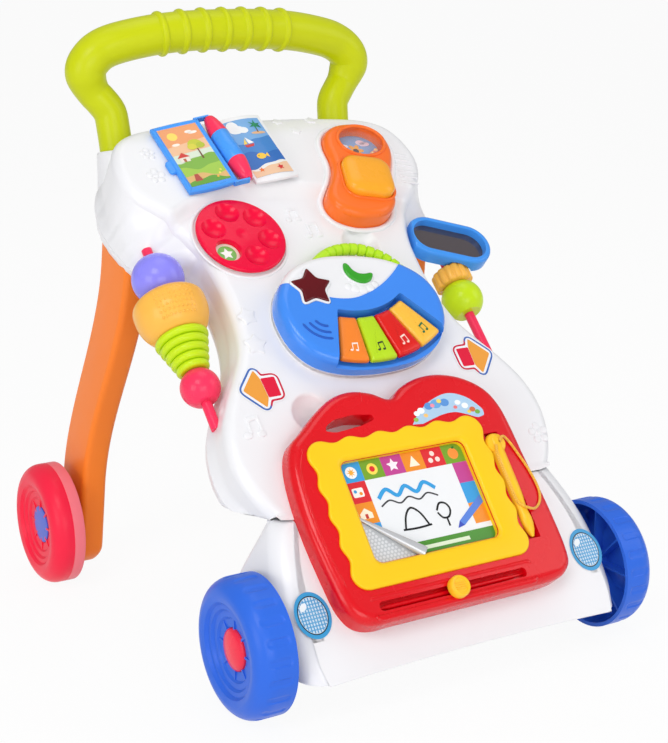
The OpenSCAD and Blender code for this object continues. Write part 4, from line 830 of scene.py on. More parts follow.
# ------------------------------------------------------------------ book
BOOK = at_face(-40, 198, 5)
ROLLER_H, SPINE = HEAD_RAISE + 8 + 0.4, 9.5
PAGE_M = BOOK @ move((0, 0, ROLLER_H)) @ turn(-7, "Y")
PAGE_W, PAGE_H, PAGE_BOW = 42, 71, 1.5
page = [Vector((PAGE_W*t, -PAGE_H/2 - PAGE_BOW*sin(pi*t))) for t in np.linspace(0, 1, 10)]
page += [Vector((PAGE_W*t, PAGE_H/2 + PAGE_BOW*sin(pi*t)*0.4)) for t in np.linspace(1, 0, 10)]
page = even(vectors(page, -SPINE - PAGE_W), 1.0)
plate("flip_page", page, rounded(-2, 2, 0.9, 4, 0.6), SKY, "page", PAGE_M, ("book_page",))


def bead_line(name, outline, r, m, mat, body, h):
    "A round bead along an outline."
    pts = [m @ Vector((p[0], p[1], h)) for p in outline]
    make(name, sweep(pts + pts[:2], r, 10, m.to_3x3() @ UP), mat, body, sharp=60)


bead_line("page_rim", inset(page, 1.7), 1.7, PAGE_M, SKY, "page", 1.05)
for e, word in ((-1, "low"), (1, "high")):
    make("page_arm_" + word, block(((-13, e*36.9), (-13, e*35.3), (0.5, e*35.3), (0.5, e*36.9)), -2.4, 2.4), SKY,
        "page", m=PAGE_M, orient=True)
plate("page_tab", vectors(box_points(7, 13, 3), -52.6, -6), rounded(-1.6, 1.4, 0.8, 4, 0.5), SKY, "page", PAGE_M)
W, H = 34.0, 63.0
CLOUD, SAND, FISH = (246, 240, 232), (238, 196, 160), (250, 202, 60)


def hills(y0, seed):
    "The ground under a wavy line, across a picture."
    return [Vector((-W/2, -H/2)), Vector((W/2, -H/2))] + [Vector((W/2 - W*t,
        y0 + 2.2*sin(seed + 5.0*t) + sin(2*seed + 11*t))) for t in np.linspace(0, 1, 14)]


def inside(shapes):
    "Keeps each outline inside the picture."
    return [([Vector((min(W/2, max(-W/2, p[0])), min(H/2, max(-H/2, p[1])))) for p in o], c, up) for o, c, up in shapes]


land = [(rect(-W/2, -H/2, W/2, H/2), (238, 190, 150), 0),
    ([(-W/2, H*0.18), (W/2, H*0.24), (W/2, H/2), (-W/2, H/2)], (236, 158, 104), 1),
    ([(-W/2, -H/2), (W/2, -H/2), (W/2, 4), (-W/2, 2)], (214, 226, 206), 1)]
land += discs([(24, 4.2, 4.2, -8, 22, (252, 216, 96), 2), (20, 3.2, 1.6, 7, 24, CLOUD, 2),
    (20, 4.0, 1.5, 10, 22.6, CLOUD, 2), (20, 3.4, 1.4, -9, 13, (250, 236, 224), 2)])
land += [(hills(-4, 0.4), (126, 178, 62), 2), (hills(-13, 2.2), (160, 200, 70), 3),
    (hills(-22, 4.0), (222, 178, 110), 4),
    (hills(-27, 5.2), (96, 160, 48), 5), ([(5.2, -6), (6.8, -6), (6.4, 6), (5.6, 6)], (112, 66, 40), 6),
    (rect(-13, -6, -5, -1), (236, 226, 214), 6), ([(-14.4, -1.2), (-3.6, -1.2), (-9, 4)], (206, 54, 44), 7),
    (rect(-10.4, -6, -8.2, -2.6), (176, 96, 60), 7),
    ([(-9.6, -20), (-6.6, -20), (-4.8, -27.5), (-11.4, -27.5)], (178, 72, 56), 6)]
land += discs([(28, 6.0, 5.0, 6, 10, (196, 200, 48), 7), (24, 3.8, 3.2, 2.4, 7.6, (214, 206, 60), 8),
    (24, 3.6, 3.0, 9.8, 7.8, (178, 190, 44), 8), (12, 1.0, 1.0, 11, -24, (240, 226, 90), 7),
    (12, 1.0, 1.0, 13, -21, (240, 226, 90), 7), (12, 1.0, 1.0, 8, -27, (246, 180, 60), 7)])
paint("page_picture", "page", flat_place(PAGE_M @ move((-SPINE - 21.2, 0.4, 0)), 2.06), inside(land))


def page_lift(x):
    "The fixed page rises in a soft curve from the roller."
    return HEAD_RAISE + 3 + 3*sin(pi*min(1.0, max(0.0, (x - SPINE)/40))*0.8)


rings = []
for x in np.linspace(SPINE, SPINE + 39, 16):
    bow, h = 2*sin(pi*(x - SPINE)/39), page_lift(x)
    y0, y1 = -35 - bow, 35.5 + bow*0.5
    rings.append([(x, y0, h - 2.4), (x, y1, h - 2.4), (x, y1, h - 0.4), (x, y1 - 0.4, h), (x, y0 + 0.4, h),
        (x, y0, h - 0.4)])
make("fixed_page", loft(rings), WHITE, "frame", ("book_base",), BOOK, sharp=40, orient=True)


def page_place(x, y, up):
    x += 28.5
    return BOOK @ Vector((x, y + 0.6*sin(pi*(x - SPINE)/39), page_lift(x) + 0.07 + up))


def strips(shapes):
    "Cuts wide outlines into narrow ones, so that they follow a curved page."
    out = []
    for o, c, up in shapes:
        xs = [p[0] for p in o]
        if max(xs) - min(xs) < 6:
            out.append((o, c, up))
            continue
        grid = np.linspace(min(xs), max(xs), int((max(xs) - min(xs))/3) + 2)
        for a, b in zip(grid[:-1], grid[1:]):
            poly = [Vector(p) for p in o]
            for limit, sign in ((a, 1), (b, -1)):
                new = []
                for p, q in zip(poly[-1:] + poly[:-1], poly):
                    p_in, q_in = sign*(p[0] - limit) >= 0, sign*(q[0] - limit) >= 0
                    if p_in != q_in:
                        new.append(p + (q - p)*((limit - p[0])/(q[0] - p[0])))
                    if q_in:
                        new.append(q)
                poly = new
            if len(poly) > 2:
                out.append((poly, c, up))
    return out


WHITE_INK, RED_INK = (240, 243, 246), (214, 50, 50)
sea = [(rect(-W/2, -H/2, W/2, H/2), (118, 172, 226), 0), (hills(8, 1.0), (64, 132, 204), 1),
    (hills(-6, 3.0), (44, 108, 188), 2), (hills(-20, 0.5), (238, 236, 230), 3), (hills(-22.4, 0.8), SAND, 4),
    ([(8.4, 15), (9.4, 15), (10.2, 23), (9.6, 23)], (120, 76, 44), 4),
    (star(6.0, 0.35, 6, (9.8, 23.4), 20), (40, 140, 96), 5),
    ([(-10, 3.4), (-1, 3.4), (-2.6, 0.6), (-8.6, 0.6)], (214, 60, 60), 4),
    ([(-5.8, 4), (-5.8, 11.6), (-0.8, 4.4)], (250, 250, 250), 4),
    ([(-6.6, 4), (-6.6, 10.4), (-10, 4.4)], (250, 214, 90), 4),
    ([(1.4, -11), (4.6, -8.4), (4.6, -13.6)], FISH, 4), (star(2.6, 0.5, 5, (-9, -25), 80), (240, 120, 50), 6),
    (star(3.2, 0.5, 5, (8, -25.5), 100), RED_INK, 6)]
sea += discs([(28, 6.5, 4.4, -8, 21, WHITE_INK, 2), (28, 5.0, 5.6, -10, 25, WHITE_INK, 3),
    (28, 4.2, 3.4, -2.6, 19.4, WHITE_INK, 3), (24, 6.6, 1.5, 9, 14.5, (232, 184, 140), 3),
    (24, 4.0, 3.2, -2, -11, FISH, 4),
    (10, 0.5, 0.5, -4, -10.4, (60, 50, 40), 5)])
paint("fixed_picture", "frame", page_place, strips(inside(sea)))

END = 35.0*0.42
ends = [(2.06, -30), (2.06, -35), (3.2, -35), (4.4, -33.6), (5.6, -30), (6.6, -25), (7.4, -20), (7.85, -16),
    (7.85, -END - 0.1)]
ROLLER_M = BOOK @ move((0, 0, ROLLER_H)) @ turn(90, "X")
turned("roller_end_a", ends, PINK, "roller", ROLLER_M, (), 64)
turned("roller_end_b", [(r, -t) for r, t in ends], PINK, "roller", ROLLER_M, (), 64)
turned("roller_middle", [(6.5, -END - 0.2), (7.8, -END), (8, -END + 0.4), (8, END - 0.4), (7.8, END), (6.5, END + 0.2)],
    SKY, "roller", ROLLER_M, ("book_roller",), 64)

# ------------------------------------------------------------------ horn and bead window
HORN_M = at_face(0, 168)
WINDOW_M = HORN_M @ move((83, 29, 0))
BUTTON_M = HORN_M @ move((68, 154.5 - 168, 0)) @ turn(-14)
shell = plate("horn_shell", even(vectors(horn_edge, 0, -168), 1.6), rounded(-9, 16, 6.0, 10), CORAL, "frame", HORN_M,
    ("horn_housing",))
cut(shell, prism(ring_points(20.6, 64, 16.6), 5.0, 40, WINDOW_M), prism(box_points(42.8, 42.8, 12, 8), 3, 40, BUTTON_M))
bead_line("window_rim", ring_points(21.3, 72, 17.3), 1.6, WINDOW_M, CORAL, "frame", 15.9)
bead_line("button_rim", even(box_points(44.4, 44.4, 12.6, 10), 1.2), 1.3, BUTTON_M, CORAL,
    "frame", 15.8)
PETAL, MIST = (250, 176, 48), (238, 226, 244)
sky = discs([(64, 20.8, 16.8, 0, 0, (132, 176, 226), 0), (20, 4.2, 3.0, 7, 8, MIST, 1), (20, 5.2, 2.4, 10, 6, MIST, 1),
    (20, 5.0, 2.4, -11, 5, (238, 240, 250), 1), (20, 2.6, 2.6, -1, -1, (60, 44, 40), 3)])
for k in range(6):
    a = radians(60*k)
    sky.append((ring_points(3.1, 20, 2.0, (-1 + 4.4*cos(a), -1 + 4.4*sin(a)), 60*k), PETAL, 2))
paint("window_picture", "frame", flat_place(WINDOW_M, 5.3), sky)
rng = np.random.default_rng(7)
grain = lathe([(2.0*cos(a), 2.0*sin(a)) for a in np.linspace(-pi/2, pi/2, 9)], 14)
shapes = []
for k in range(26):
    x = -16 + 32*k/25 + rng.uniform(-0.8, 0.8)
    edge = -16.6*sqrt(max(0.0, 1 - (x/20.6)**2))
    shapes.append(placed(grain, x, edge + 2.6 + k % 2*3.0 + rng.uniform(0, 1.2), 7.7))
make("rattle_beads", join(shapes), BEAD_TINTS, "frame", ("window_beads",), WINDOW_M,
    marks=[k % 4 for k in range(26) for _ in grain[1]])
pillow = [(0, 11), (0, 18.4)] + [(13 - 13*cos(t)**0.8, 18.4 + 6.6*sin(t)**0.8) for t in np.linspace(0.06, 1.5, 16)]
plate("press_button", even(box_points(42, 42, 12, 10), 1.2), pillow, BUTTON, "button", BUTTON_M, ("horn_button",))

# ------------------------------------------------------------------ dial
DIAL = at_face(DIAL_X, DIAL_S)
CARD, HOLE_R, DIAL_N = (238, 232, 218), 22, 240


def dial_height(r):
    h = 6.0 - 0.9*(r/36)**2
    if r > 34:
        h -= 1.4*(1 - sqrt(max(0.0, 1 - ((r - 34)/2.0)**2)))
    return min(h, 5.4 + 0.12*r) if r < 5 else h


def around(r, deg):
    return r*cos(radians(deg)), r*sin(radians(deg))


spans = [0, 1.5, 3.0] + list(np.linspace(4.5, 34.0, 44)) + [34.6, 35.1, 35.5, 35.8, 36.0]
v, f = lathe([(r, dial_height(r)) for r in spans] + [(35.8, 2.0), (35.2, 1.2), (20, 1.2)], DIAL_N)
f.append(tuple(range(len(v) - DIAL_N, len(v))))
dial = make("finger_wheel", (v, f), DIAL_RED, "finger_dial", ("dial",), DIAL, 45, weld=True)
ball = lathe([(13.8*cos(a), 13.8*sin(a)) for a in np.linspace(-pi/2, pi/2, 25)], 48)
cut(dial, *[tool(ball, DIAL @ move(around(22.6, 60*k - 80) + (15.3,)), weld=True) for k in range(5)])
cut(dial, tool(lathe([(0, -3), (9.8, -3), (9.8, 4.4), (11.2, 7.2), (0, 7.2)], 56),
    DIAL @ move(around(HOLE_R, -140) + (0,)), weld=True))
shapes = [(ring_points(33.5, 72), CARD, 0)]
for k, tint in enumerate(((120, 190, 90), (240, 130, 80), (90, 160, 220),
        (230, 90, 120), (250, 200, 80), (150, 120, 210))):
    c = around(HOLE_R, 60*k - 140)
    shapes += [(ring_points(7.6, 32, at=c), tint, 1), (star(5.6, 0.5, 5, c, 90 + 60*k), (250, 250, 246), 2)]
paint("dial_card", "frame", flat_place(DIAL, 0.96), shapes)

# ------------------------------------------------------------------ music box
MUSIC = at_face(6, 31)
MUSIC_UP = MUSIC.to_3x3() @ UP
CASE = [(6, -20), (35, -17), (57, -7), (71, 10), (76, 30), (73, 47), (63, 61), (45, 73), (20, 80), (-10, 82), (-35, 76),
    (-52, 63), (-62, 46), (-64, 28), (-60, 9), (-48, -7), (-25, -17)]
DECK = [(-62, 66), (-44, 56), (-25, 44), (-4, 39), (14, 42), (30, 49), (45, 59), (60, 72)]
music = even(vectors(smooth_closed(CASE, 10), -6, -31), 1.4)
deck_edge = vectors(smooth_open(DECK, 10), -6, -31)
KEY_C = Vector((-2, 59))
KEY_R0, KEY_R1, KEY_PITCH, KEY_FAN = 66.0, 105.0, 13.5, 7.2


def fan(r, deg):
    return KEY_C + r*Vector((sin(radians(deg)), -cos(radians(deg))))


def sector(r0, r1, mid, half, k):
    "Part of a ring round KEY_C, half degrees to both sides of mid."
    a = [mid - half + 2*half*j/k for j in range(k + 1)]
    return [fan(r1, q) for q in a] + [fan(r0, q) for q in reversed(a)]


keys_half = 2*KEY_PITCH + 1.4
star_edge = vectors(soften(star(17.8, 0.56, 5, first=84), 4.5, 0.5), -37.5, 21.5)
case = plate("music_shell", music, [(1.0, 3.3), (0.2, 3.8), (0, 5)] + arc(7, 13, 7, 0, 12) + [(7.3, 20)], MUSIC_BLUE,
    "music_box", MUSIC, ("music_case",))
cut(case, prism(deck_edge + vectors([(70, 70), (-76, 70)]), -2, 40, MUSIC),
    prism(soften(sector(KEY_R0 - 3, KEY_R1 + 3, KEY_FAN, keys_half, 16), 2.0), 9, 40, MUSIC),
    prism(soften(sector(KEY_R1 - 5, KEY_R1 + 45, KEY_FAN, keys_half, 16), 1.2), 11.5, 40, MUSIC),
    prism(shrink(star_edge, -1.9, 0.2), 17, 40, MUSIC))
plate("music_foot", music, [(0.6, 0.4), (0, 0.9), (0, 3.0), (0.3, 3.2)], WHITE, "music_box", MUSIC)
deck = plate("music_deck", music, [(0.4, -0.5), (0, 0.2), (0, 5)] + arc(6.6, 12.4, 6.6, 0, 12) + [(6.9, 19)], WHITE,
    "music_box", MUSIC, ("music_back",))
front = vectors([(-110, 40)]) + deck_edge + vectors([(110, 45), (110, -110), (-110, -110)])
cut(deck, prism(front[::-1], 3.1, 60, MUSIC))

crown = [(0.5, 11.9), (0, 12.4), (0, 14.2)] + arc(3.2, 14.2, 2.9, 0.15, 8) + [(4.2, 17.3), (5.4, 17.45)]
for k, tint in enumerate(((255, 236, 224), (52, 62, 40), (255, 226, 214), (22, 110, 70))):
    a, body, key = KEY_FAN + (k - 1.5)*KEY_PITCH, "key_" + "abcd"[k], "key_%d" % (k + 1)
    plate("key_top_%d" % (k + 1), soften(sector(KEY_R0, KEY_R1, a, KEY_PITCH/2 - 0.35, 8), 1.6, 0.7), crown, KEYS[k],
        body, MUSIC, (key,))
    c = fan(KEY_R1 - 11, a)
    paint("key_print_%d" % (k + 1), body, flat_place(MUSIC, 17.56),
        [(o, tint, i % 3) for i, o in enumerate(note(c.x, c.y, 4.2, a))])

plate("star_border", shrink(star_edge, -1.5, 0.2), rounded(16.0, 20.7, 0.7, 4), WHITE, "music_box", MUSIC)
plate("star_glow", star_edge, rounded(16.5, 22.0, 1.5, 6), STAR_RED, "music_box", MUSIC, ("star_lens",))
MOON = [(-10, 8.5), (-11.6, 3), (-10, -3.5), (-5, -8.6), (1, -10.6), (7, -9), (11, -4), (9.6, -2), (4, -2.2), (-1, -1),
    (-4.4, 2.4), (-6, 7), (-8, 9.4)]
moon = even(vectors(smooth_closed(MOON, 8), 7, 30), 0.6)
plate("moon_border", shrink(moon, -1.3, 0.2), rounded(15.7, 20.1, 0.6, 3), WHITE, "music_box", MUSIC)
plate("moon_button", moon, rounded(17.5, 22.0, 1.5, 6), GREEN, "crescent", MUSIC, ("crescent_button",))
PUFFS = [(-6, 19, 18.6, 3.4, 1.1), (-1, 16, 18.7, 4.0, 1.3), (5, 14.6, 18.7, 4.4, 1.4), (11.5, 15.4, 18.7, 4.2, 1.3),
    (17, 18, 18.6, 3.4, 1.1), (5.5, 18.6, 18.7, 5.4, 1.2), (0, 19.6, 18.7, 4.2, 1.0), (11, 19.8, 18.7, 4.4, 1.0)]
puffs = [placed(lathe([(r, -0.3), (r*0.96, t*0.45), (r*0.7, t*0.85), (0, t)], 24), x, y, h) for x, y, h, r, t in PUFFS]
make("cloud_relief", join(puffs), WHITE, "music_box", m=MUSIC, weld=True, sharp=60)
# Sound slots as raised ribs whose darker blue is painted shade standing in for the openings.
for k, (r, a0, a1) in enumerate(((9.5, 200, 268), (15, 196, 270), (20.5, 193, 268))):
    pts = [MUSIC @ Vector((r*cos(radians(a)) - 38, r*sin(radians(a)) - 4, 19.6)) for a in np.linspace(a0, a1, 18)]
    make("sound_slot_%d" % k, sweep(pts, [0.6] + [1.25]*16 + [0.6], 10, MUSIC_UP, 0.9), SLOT_SHADE_BLUE, "music_box",
        sharp=60)

GRIP_R, GRIP_FIRST, GRIP_PITCH = 4.8, 34, 9.2
bar, radii = [], []
for a in np.linspace(14, 134, 240):
    bar.append(MUSIC @ Vector((14 + 45*cos(radians(a)), 17 + 45*sin(radians(a)), 6)))
    k = (a - GRIP_FIRST)/GRIP_PITCH
    near = abs(k - round(k))*GRIP_PITCH
    radii.append(GRIP_R - (1.7*exp(-((near - GRIP_PITCH/2)/0.85)**2) if -0.6 < k < 8.6 else 0))
make("carry_bar", sweep(bar, radii, 28, MUSIC_UP), CARRY_LIME, "music_box", ("carry_handle",), sharp=70)

# ------------------------------------------------------------------ tablet
T_X, T_S = 8, 118
TABLET_UP = TABLET.to_3x3() @ UP
T_EDGE = [(-60, -205), (20, -205), (68, -204.5), (85, -199), (91, -186), (91.5, -150), (89, -110), (88, -85), (86, -66),
    (79, -50), (64, -38), (45, -31.5), (25, -31.5), (8, -37), (-5, -45), (-18, -38), (-35, -34), (-52, -37), (-68, -46),
    (-84, -58), (-96, -67), (-103, -82), (-106.5, -105), (-107, -135), (-104, -170), (-101, -188), (-94, -200),
    (-81, -205)]
red = plate("tablet_shell", even(vectors(smooth_closed(T_EDGE, 8), T_X, T_S), 1.8),
    [(1.0, -3.5), (0, -2.6), (0, 9)] + arc(7, 9, 7, 0.1, 10) + [(7.3, 16)], TABLET_RED, "tablet", TABLET,
    ("tablet_case", "tablet_back"), spread=False)
grip = soften([(-60, 55), (-52, 52.6), (-30, 54.6), (-18, 57.6), (-18.5, 61.6), (-34, 64), (-50, 62.6), (-58, 59)], 1.5)
W, H = 105.0, 77.0
MID = Vector((-6.5, -8.5))
SCREEN = TABLET @ move((MID.x, MID.y, 0))
cut(red, prism(grip, -20, 40, TABLET), prism(box_points(W, H, 6), 11.5, 40, SCREEN),
    tool(sweep([(73, 31.5, 15), (73, -54, 15)], 6.0, 40), TABLET),
    prism(ring_points(8.6, 40, at=(73, 22)), 11, 40, TABLET),
    prism(vectors(box_points(124, 6.8, 3), -7, -76.5), 10, 40, TABLET))


def rail(name, pts, r, h=15.6, flat=0.6):
    path = [TABLET @ Vector((x, y, h)) for x, y in pts]
    make(name, sweep(path, [r*0.3] + [r]*(len(path) - 2) + [r*0.3], 12, TABLET_UP, flat), TABLET_RED, "tablet",
        sharp=60)


for name, outer, inner, r in (("slot_ridge_low", -82.6, -84, 2.2), ("slot_ridge_high", -71, -69.6, 1.6)):
    rail(name, smooth_open([(-72, outer), (-70, inner), (-40, inner), (30, inner), (58, inner), (60, outer)], 4), r)
rail("slot_bar", [(x, -76.5) for x in (-69, -60, -10, 40, 55)], 1.7, 11.2, 0.9)
rail("grip_join_a", [(-24, 70), (-22, 76), (-21, 80.5)], 1.6, 15.4)
rail("side_line", smooth_open([(-88, -60), (-92, -30), (-93, 0), (-90, 30), (-82, 46)], 6), 1.1, 15.7, 0.5)

X0, Y0, X1, Y1, CORNER = -82, -64, 67, 48, 12.0
WAVE, WAVE_N = 3.0, 12


def corner(x, y, a0):
    return [Vector((x + CORNER*cos(radians(a0 + 9*j)), y + CORNER*sin(radians(a0 + 9*j)))) for j in range(11)]


def waves(a, b, n):
    "n waves from a to b."
    a, d = Vector(a), Vector(b) - Vector(a)
    out = Vector((d.y, -d.x)).normalized()
    return [a + d*j/(WAVE_N*n) - out*WAVE*(0.5 - 0.5*cos(2*pi*j/WAVE_N)) for j in range(1, WAVE_N*n)]


c = CORNER
outer = even(corner(X1 - c, Y0 + c, -90) + waves((X1, Y0 + c), (X1, Y1 - c), 4)
    + corner(X1 - c, Y1 - c, 0) + waves((X1 - c, Y1), (X0 + c, Y1), 5)
    + corner(X0 + c, Y1 - c, 90) + waves((X0, Y1 - c), (X0, Y0 + c), 4) + corner(X0 + c, Y0 + c, 180), 1.0)
# For each point of the wavy edge, the point of the window's edge in the same direction.
window = [q - MID for q in even(vectors(box_points(W, H, 6, 8), *MID), 0.5)]
angles = [atan2(q.y, q.x) for q in window]
inner = []
for p in outer:
    a = atan2(p.y - MID.y, p.x - MID.x)
    inner.append(window[min(range(len(angles)), key=lambda k: abs((angles[k] - a + pi) % (2*pi) - pi))])
rings = [[(p.x, p.y, h) for p in inset(outer, d)]
    for d, h in [(0.3, 15.8), (0, 16.2), (0, 17.0)] + arc(1.6, 17.0, 1.5, 0.3, 5) + [(2.0, 18.5)]]
rings += [[(MID.x + q.x*(1 + 2*d/W), MID.y + q.y*(1 + 2*d/H), h) for q in inner]
    for d, h in ((3.4, 18.5), (2.6, 18.4), (1.4, 17.8), (0.4, 16.6), (0, 15), (-0.2, 11.4))]
make("wavy_frame", walls(rings), TABLET_YELLOW, "tablet", ("tablet_frame",), TABLET, sharp=50)
plate("screen_card", box_points(110, 82, 5), [(0, 11.0), (0, 12.0)], FILM, "tablet", SCREEN, ("tablet_screen",))

BLUE_INK, LEAF, PLUM, TANGERINE, CHERRY = (60, 160, 226), (120, 166, 44), (196, 70, 150), (240, 146, 40), (222, 44, 52)
BLACK_INK, CELL_W, TOP_Y, PIC_Y = (26, 26, 30), W/6, H/2 - 15, H/2 - 7.6
middles = [CELL_W*(k - 2.5) for k in range(6)]
film = [(box_points(W, H, 4), (238, 240, 243), 0)]
for x, rgb in zip(middles, (BLUE_INK, LEAF, PLUM, TANGERINE, CHERRY, LEAF)):
    film.append((rect(x - CELL_W/2, TOP_Y, x + CELL_W/2, H/2), rgb, 1))
for k, pair in enumerate(((CHERRY, PLUM), (TANGERINE, BLUE_INK), (BLUE_INK, TANGERINE))):
    y = TOP_Y - 16*(k + 1)
    film += [(rect(-W/2, y, -W/2 + 17, y + 16), pair[0], 1), (rect(W/2 - 13, y, W/2, y + 16), pair[1], 1)]
y, x = PIC_Y, middles
film += [(rect(-W/2 + 17, -H/2, W/2, -H/2 + 10), (76, 146, 50), 1),
    (vectors([(-24, 5), (-17, 8.4), (-17, 6.4), (30, 6.4), (30, 3.6), (-17, 3.6), (-17, 1.6)], 0, -H/2),
        (226, 240, 214), 2),
    (star(3.6, 0.4, 8, (x[0], y)), (250, 180, 60), 3), (star(5.2, 0.5, 5, (x[2], y)), (252, 240, 250), 2),
    ([(x[3] - 4.4, y - 4), (x[3] + 4.4, y - 4), (x[3], y + 4.4)], (255, 244, 220), 2),
    (ring_points(1.4, 14, 0.8, (x[5] + 1.6, y + 4.6), 30), (40, 120, 40), 3),
    (vectors(box_points(9, 7, 1.2), -44, 15.5), (250, 246, 240), 2),
    ([(-49, -4.5), (-39, -4.5), (-39, -0.5), (-44, 3.5), (-49, -0.5)], (255, 240, 214), 2),
    (vectors(box_points(2.4, 3.4, 0.4, 2), -44, -2.7), (200, 60, 50), 3),
    (vectors([(0, 0), (24, 16), (27, 11.4), (3, -3.8)], 27, -20), (88, 132, 222), 4),
    (vectors([(0, 0), (3, -3.8), (-3.2, -5)], 27, -20), (60, 80, 190), 4)]
film += discs([(28, 4.6, 4.6, x[0], y, (250, 250, 250), 2), (28, 4.4, 4.4, x[1], y, (250, 226, 90), 2),
    (20, 2.2, 2.2, x[1], y, CHERRY, 3), (28, 4.4, 4.4, x[5], y, (250, 150, 60), 2),
    (14, 1.3, 1.3, -46, 16.5, BLUE_INK, 3), (14, 1.3, 1.3, -42, 14.5, TANGERINE, 3)])
film += discs([(20, 2.0, 2.0, x[4] + dx, y + dy, (255, 228, 220), 2) for dx, dy in ((-3, -2), (3, -2), (0, 3))])


def stroke(pts, w):
    "A line of width w through pts, as quads."
    p, pairs = smooth_open(pts, 6), []
    for i, q in enumerate(p):
        t = (p[min(i + 1, len(p) - 1)] - p[max(i - 1, 0)]).normalized()
        off = Vector((-t.y, t.x))*w/2
        pairs.append((q + off, q - off))
    return [[a, c, d, b] for (a, b), (c, d) in zip(pairs[:-1], pairs[1:])]


for pts, w, rgb in (([(-30, 8), (-22, 14), (-14, 8), (-6, 14), (2, 8), (10, 14), (18, 8)], 3.0, (54, 160, 224)),
        ([(-30, 2), (-22, 5.5), (-14, 2), (-6, 5.5), (2, 2), (10, 5.5), (18, 2)], 1.2, (60, 60, 66)),
        ([(-18, -18), (-14, -8), (-8, -3), (-2, -8), (2, -18)], 1.5, BLACK_INK),
        ([(-20, -18), (-8, -18.6), (4, -18)], 1.5, BLACK_INK),
        ([(12, -9), (16, -4), (21, -5), (23, -10), (20, -15), (15, -15), (12, -10.5)], 1.5, BLACK_INK),
        ([(18, -15.5), (18, -22)], 1.5, BLACK_INK)):
    film += [(q, rgb, 4) for q in stroke(pts, w)]
paint("screen_print", "tablet", flat_place(SCREEN, 12.05), film)

rings = []
a, b = Vector((-W/2 + 0.5, -3)), Vector((-W/2 + 40, -H/2 + 1))
axis = (b - a).normalized()
for t in np.linspace(0, 1, 15):
    p, r = a*(1 - t) + b*t, 1.0 + 3.4*t
    rings.append([(p.x - axis.y*r*cos(q), p.y + axis.x*r*cos(q), 12.3 + r*0.75*(1 + sin(q)))
        for q in np.linspace(-1.2, 4.2, 16)])
make("film_curl", walls(rings, closed=False), SILVER, "tablet", m=SCREEN, sharp=70)
dots = [([(-W/2, -H/2), (-W/2 + 38, -H/2), (-W/2, -4)], (196, 200, 205), 5)]
for row in range(12):
    for col in range(14):
        x, y = 2 + col*3.0 + row % 2*1.5, 2 + row*2.6
        if x/38 + y/34 < 0.92:
            dots.append((ring_points(1.15, 6, at=(x - W/2, y - H/2), turned_by=30), (222, 225, 229), 6))
paint("film_mesh", "tablet", flat_place(SCREEN, 12.05), dots)

# Label above the frame: a curved band of sky with soft shapes.
label = [(vectors(smooth_open([(4, -71), (16, -60), (32, -51.5), (50, -48), (66, -54), (77, -66), (78, -72)], 8)
    + smooth_open([(77, -73.6), (70, -74.5), (60, -70), (50, -66.5), (38, -66.5), (26, -69), (14, -72)], 8), T_X, T_S),
    (176, 208, 236), 0)]
PUFF = (246, 250, 252)
for x, y, r, rgb in ((20, 56, 3.0, PUFF), (25, 58, 3.6, PUFF), (64, 60, 3.0, PUFF), (70, 56, 3.4, PUFF),
        (34, 61, 4.2, (92, 150, 218)), (42, 62, 5.2, (108, 170, 226)), (51, 62, 4.6, (92, 150, 218)),
        (38, 61, 2.2, (250, 150, 170)), (46, 64, 2.4, (250, 220, 110)), (76, 51.5, 3.0, (214, 110, 70)),
        (80, 48.5, 2.6, (120, 180, 70)), (17, 50.6, 2.4, (150, 196, 90)), (28, 53, 2.2, (250, 200, 120)),
        (60, 56, 2.0, (240, 120, 120)), (72, 50, 2.0, (240, 214, 90))):
    label.append((ring_points(r, 20, r*0.8, (x, y)), rgb, 1 + int(x) % 3))
paint("tablet_label", "tablet", flat_place(TABLET, 16.06),
    [([Vector((43 + (q[0] - 49)*0.86, 58 + (q[1] - 58)*0.86)) for q in o], rgb, up) for o, rgb, up in label])

# Eraser knob and the pen.
KNOB = TABLET @ move((-5.5, -76.5, 0))
turned("eraser_knob", [(3, 9), (3, 16.3), (7.4, 16.3), (7.9, 16.8), (7.9, 21.0), (7.4, 22.2), (6.6, 22.8), (5.6, 22.6),
    (5.2, 22.0), (0, 21.8)], PEN_YELLOW, "eraser_slider", KNOB, ("eraser",), 72)
for k in range(4):
    make("knob_rib_%d" % k, block(rect(-4.2, -2.6 + k*1.6, 4.2, -2.0 + k*1.6), 21.6, 22.5), PEN_YELLOW, "eraser_slider",
        m=KNOB, orient=True)
turned("pen_barrel", [(0, 0), (3.0, 0.2), (4.4, 0.9), (5.2, 2.4), (5.4, 5), (5.4, 24), (5.3, 44), (5.0, 52), (4.4, 57),
    (4.1, 61), (4.3, 65), (4.7, 69), (4.4, 73), (3.2, 78), (1.9, 81), (1.2, 82.6), (0, 83)], PEN_YELLOW, "drawing_pen",
    TABLET @ move((73, 30, 15)) @ turn(90, "X"), ("pen",), 64)
turned("pen_head", [(0, -2), (7.4, -2), (8, -1.2), (8, 2.6), (7.2, 4.0), (5, 4.5), (0, 4.5)], PEN_YELLOW, "drawing_pen",
    TABLET @ move((73, 22, 15)), (), 56)


# ------------------------------------------------------------------ stickers on the white shell
def face_place(x0, s0, h=0.28):
    return lambda x, y, up: on(x0 + x, s0 + y, h + up)


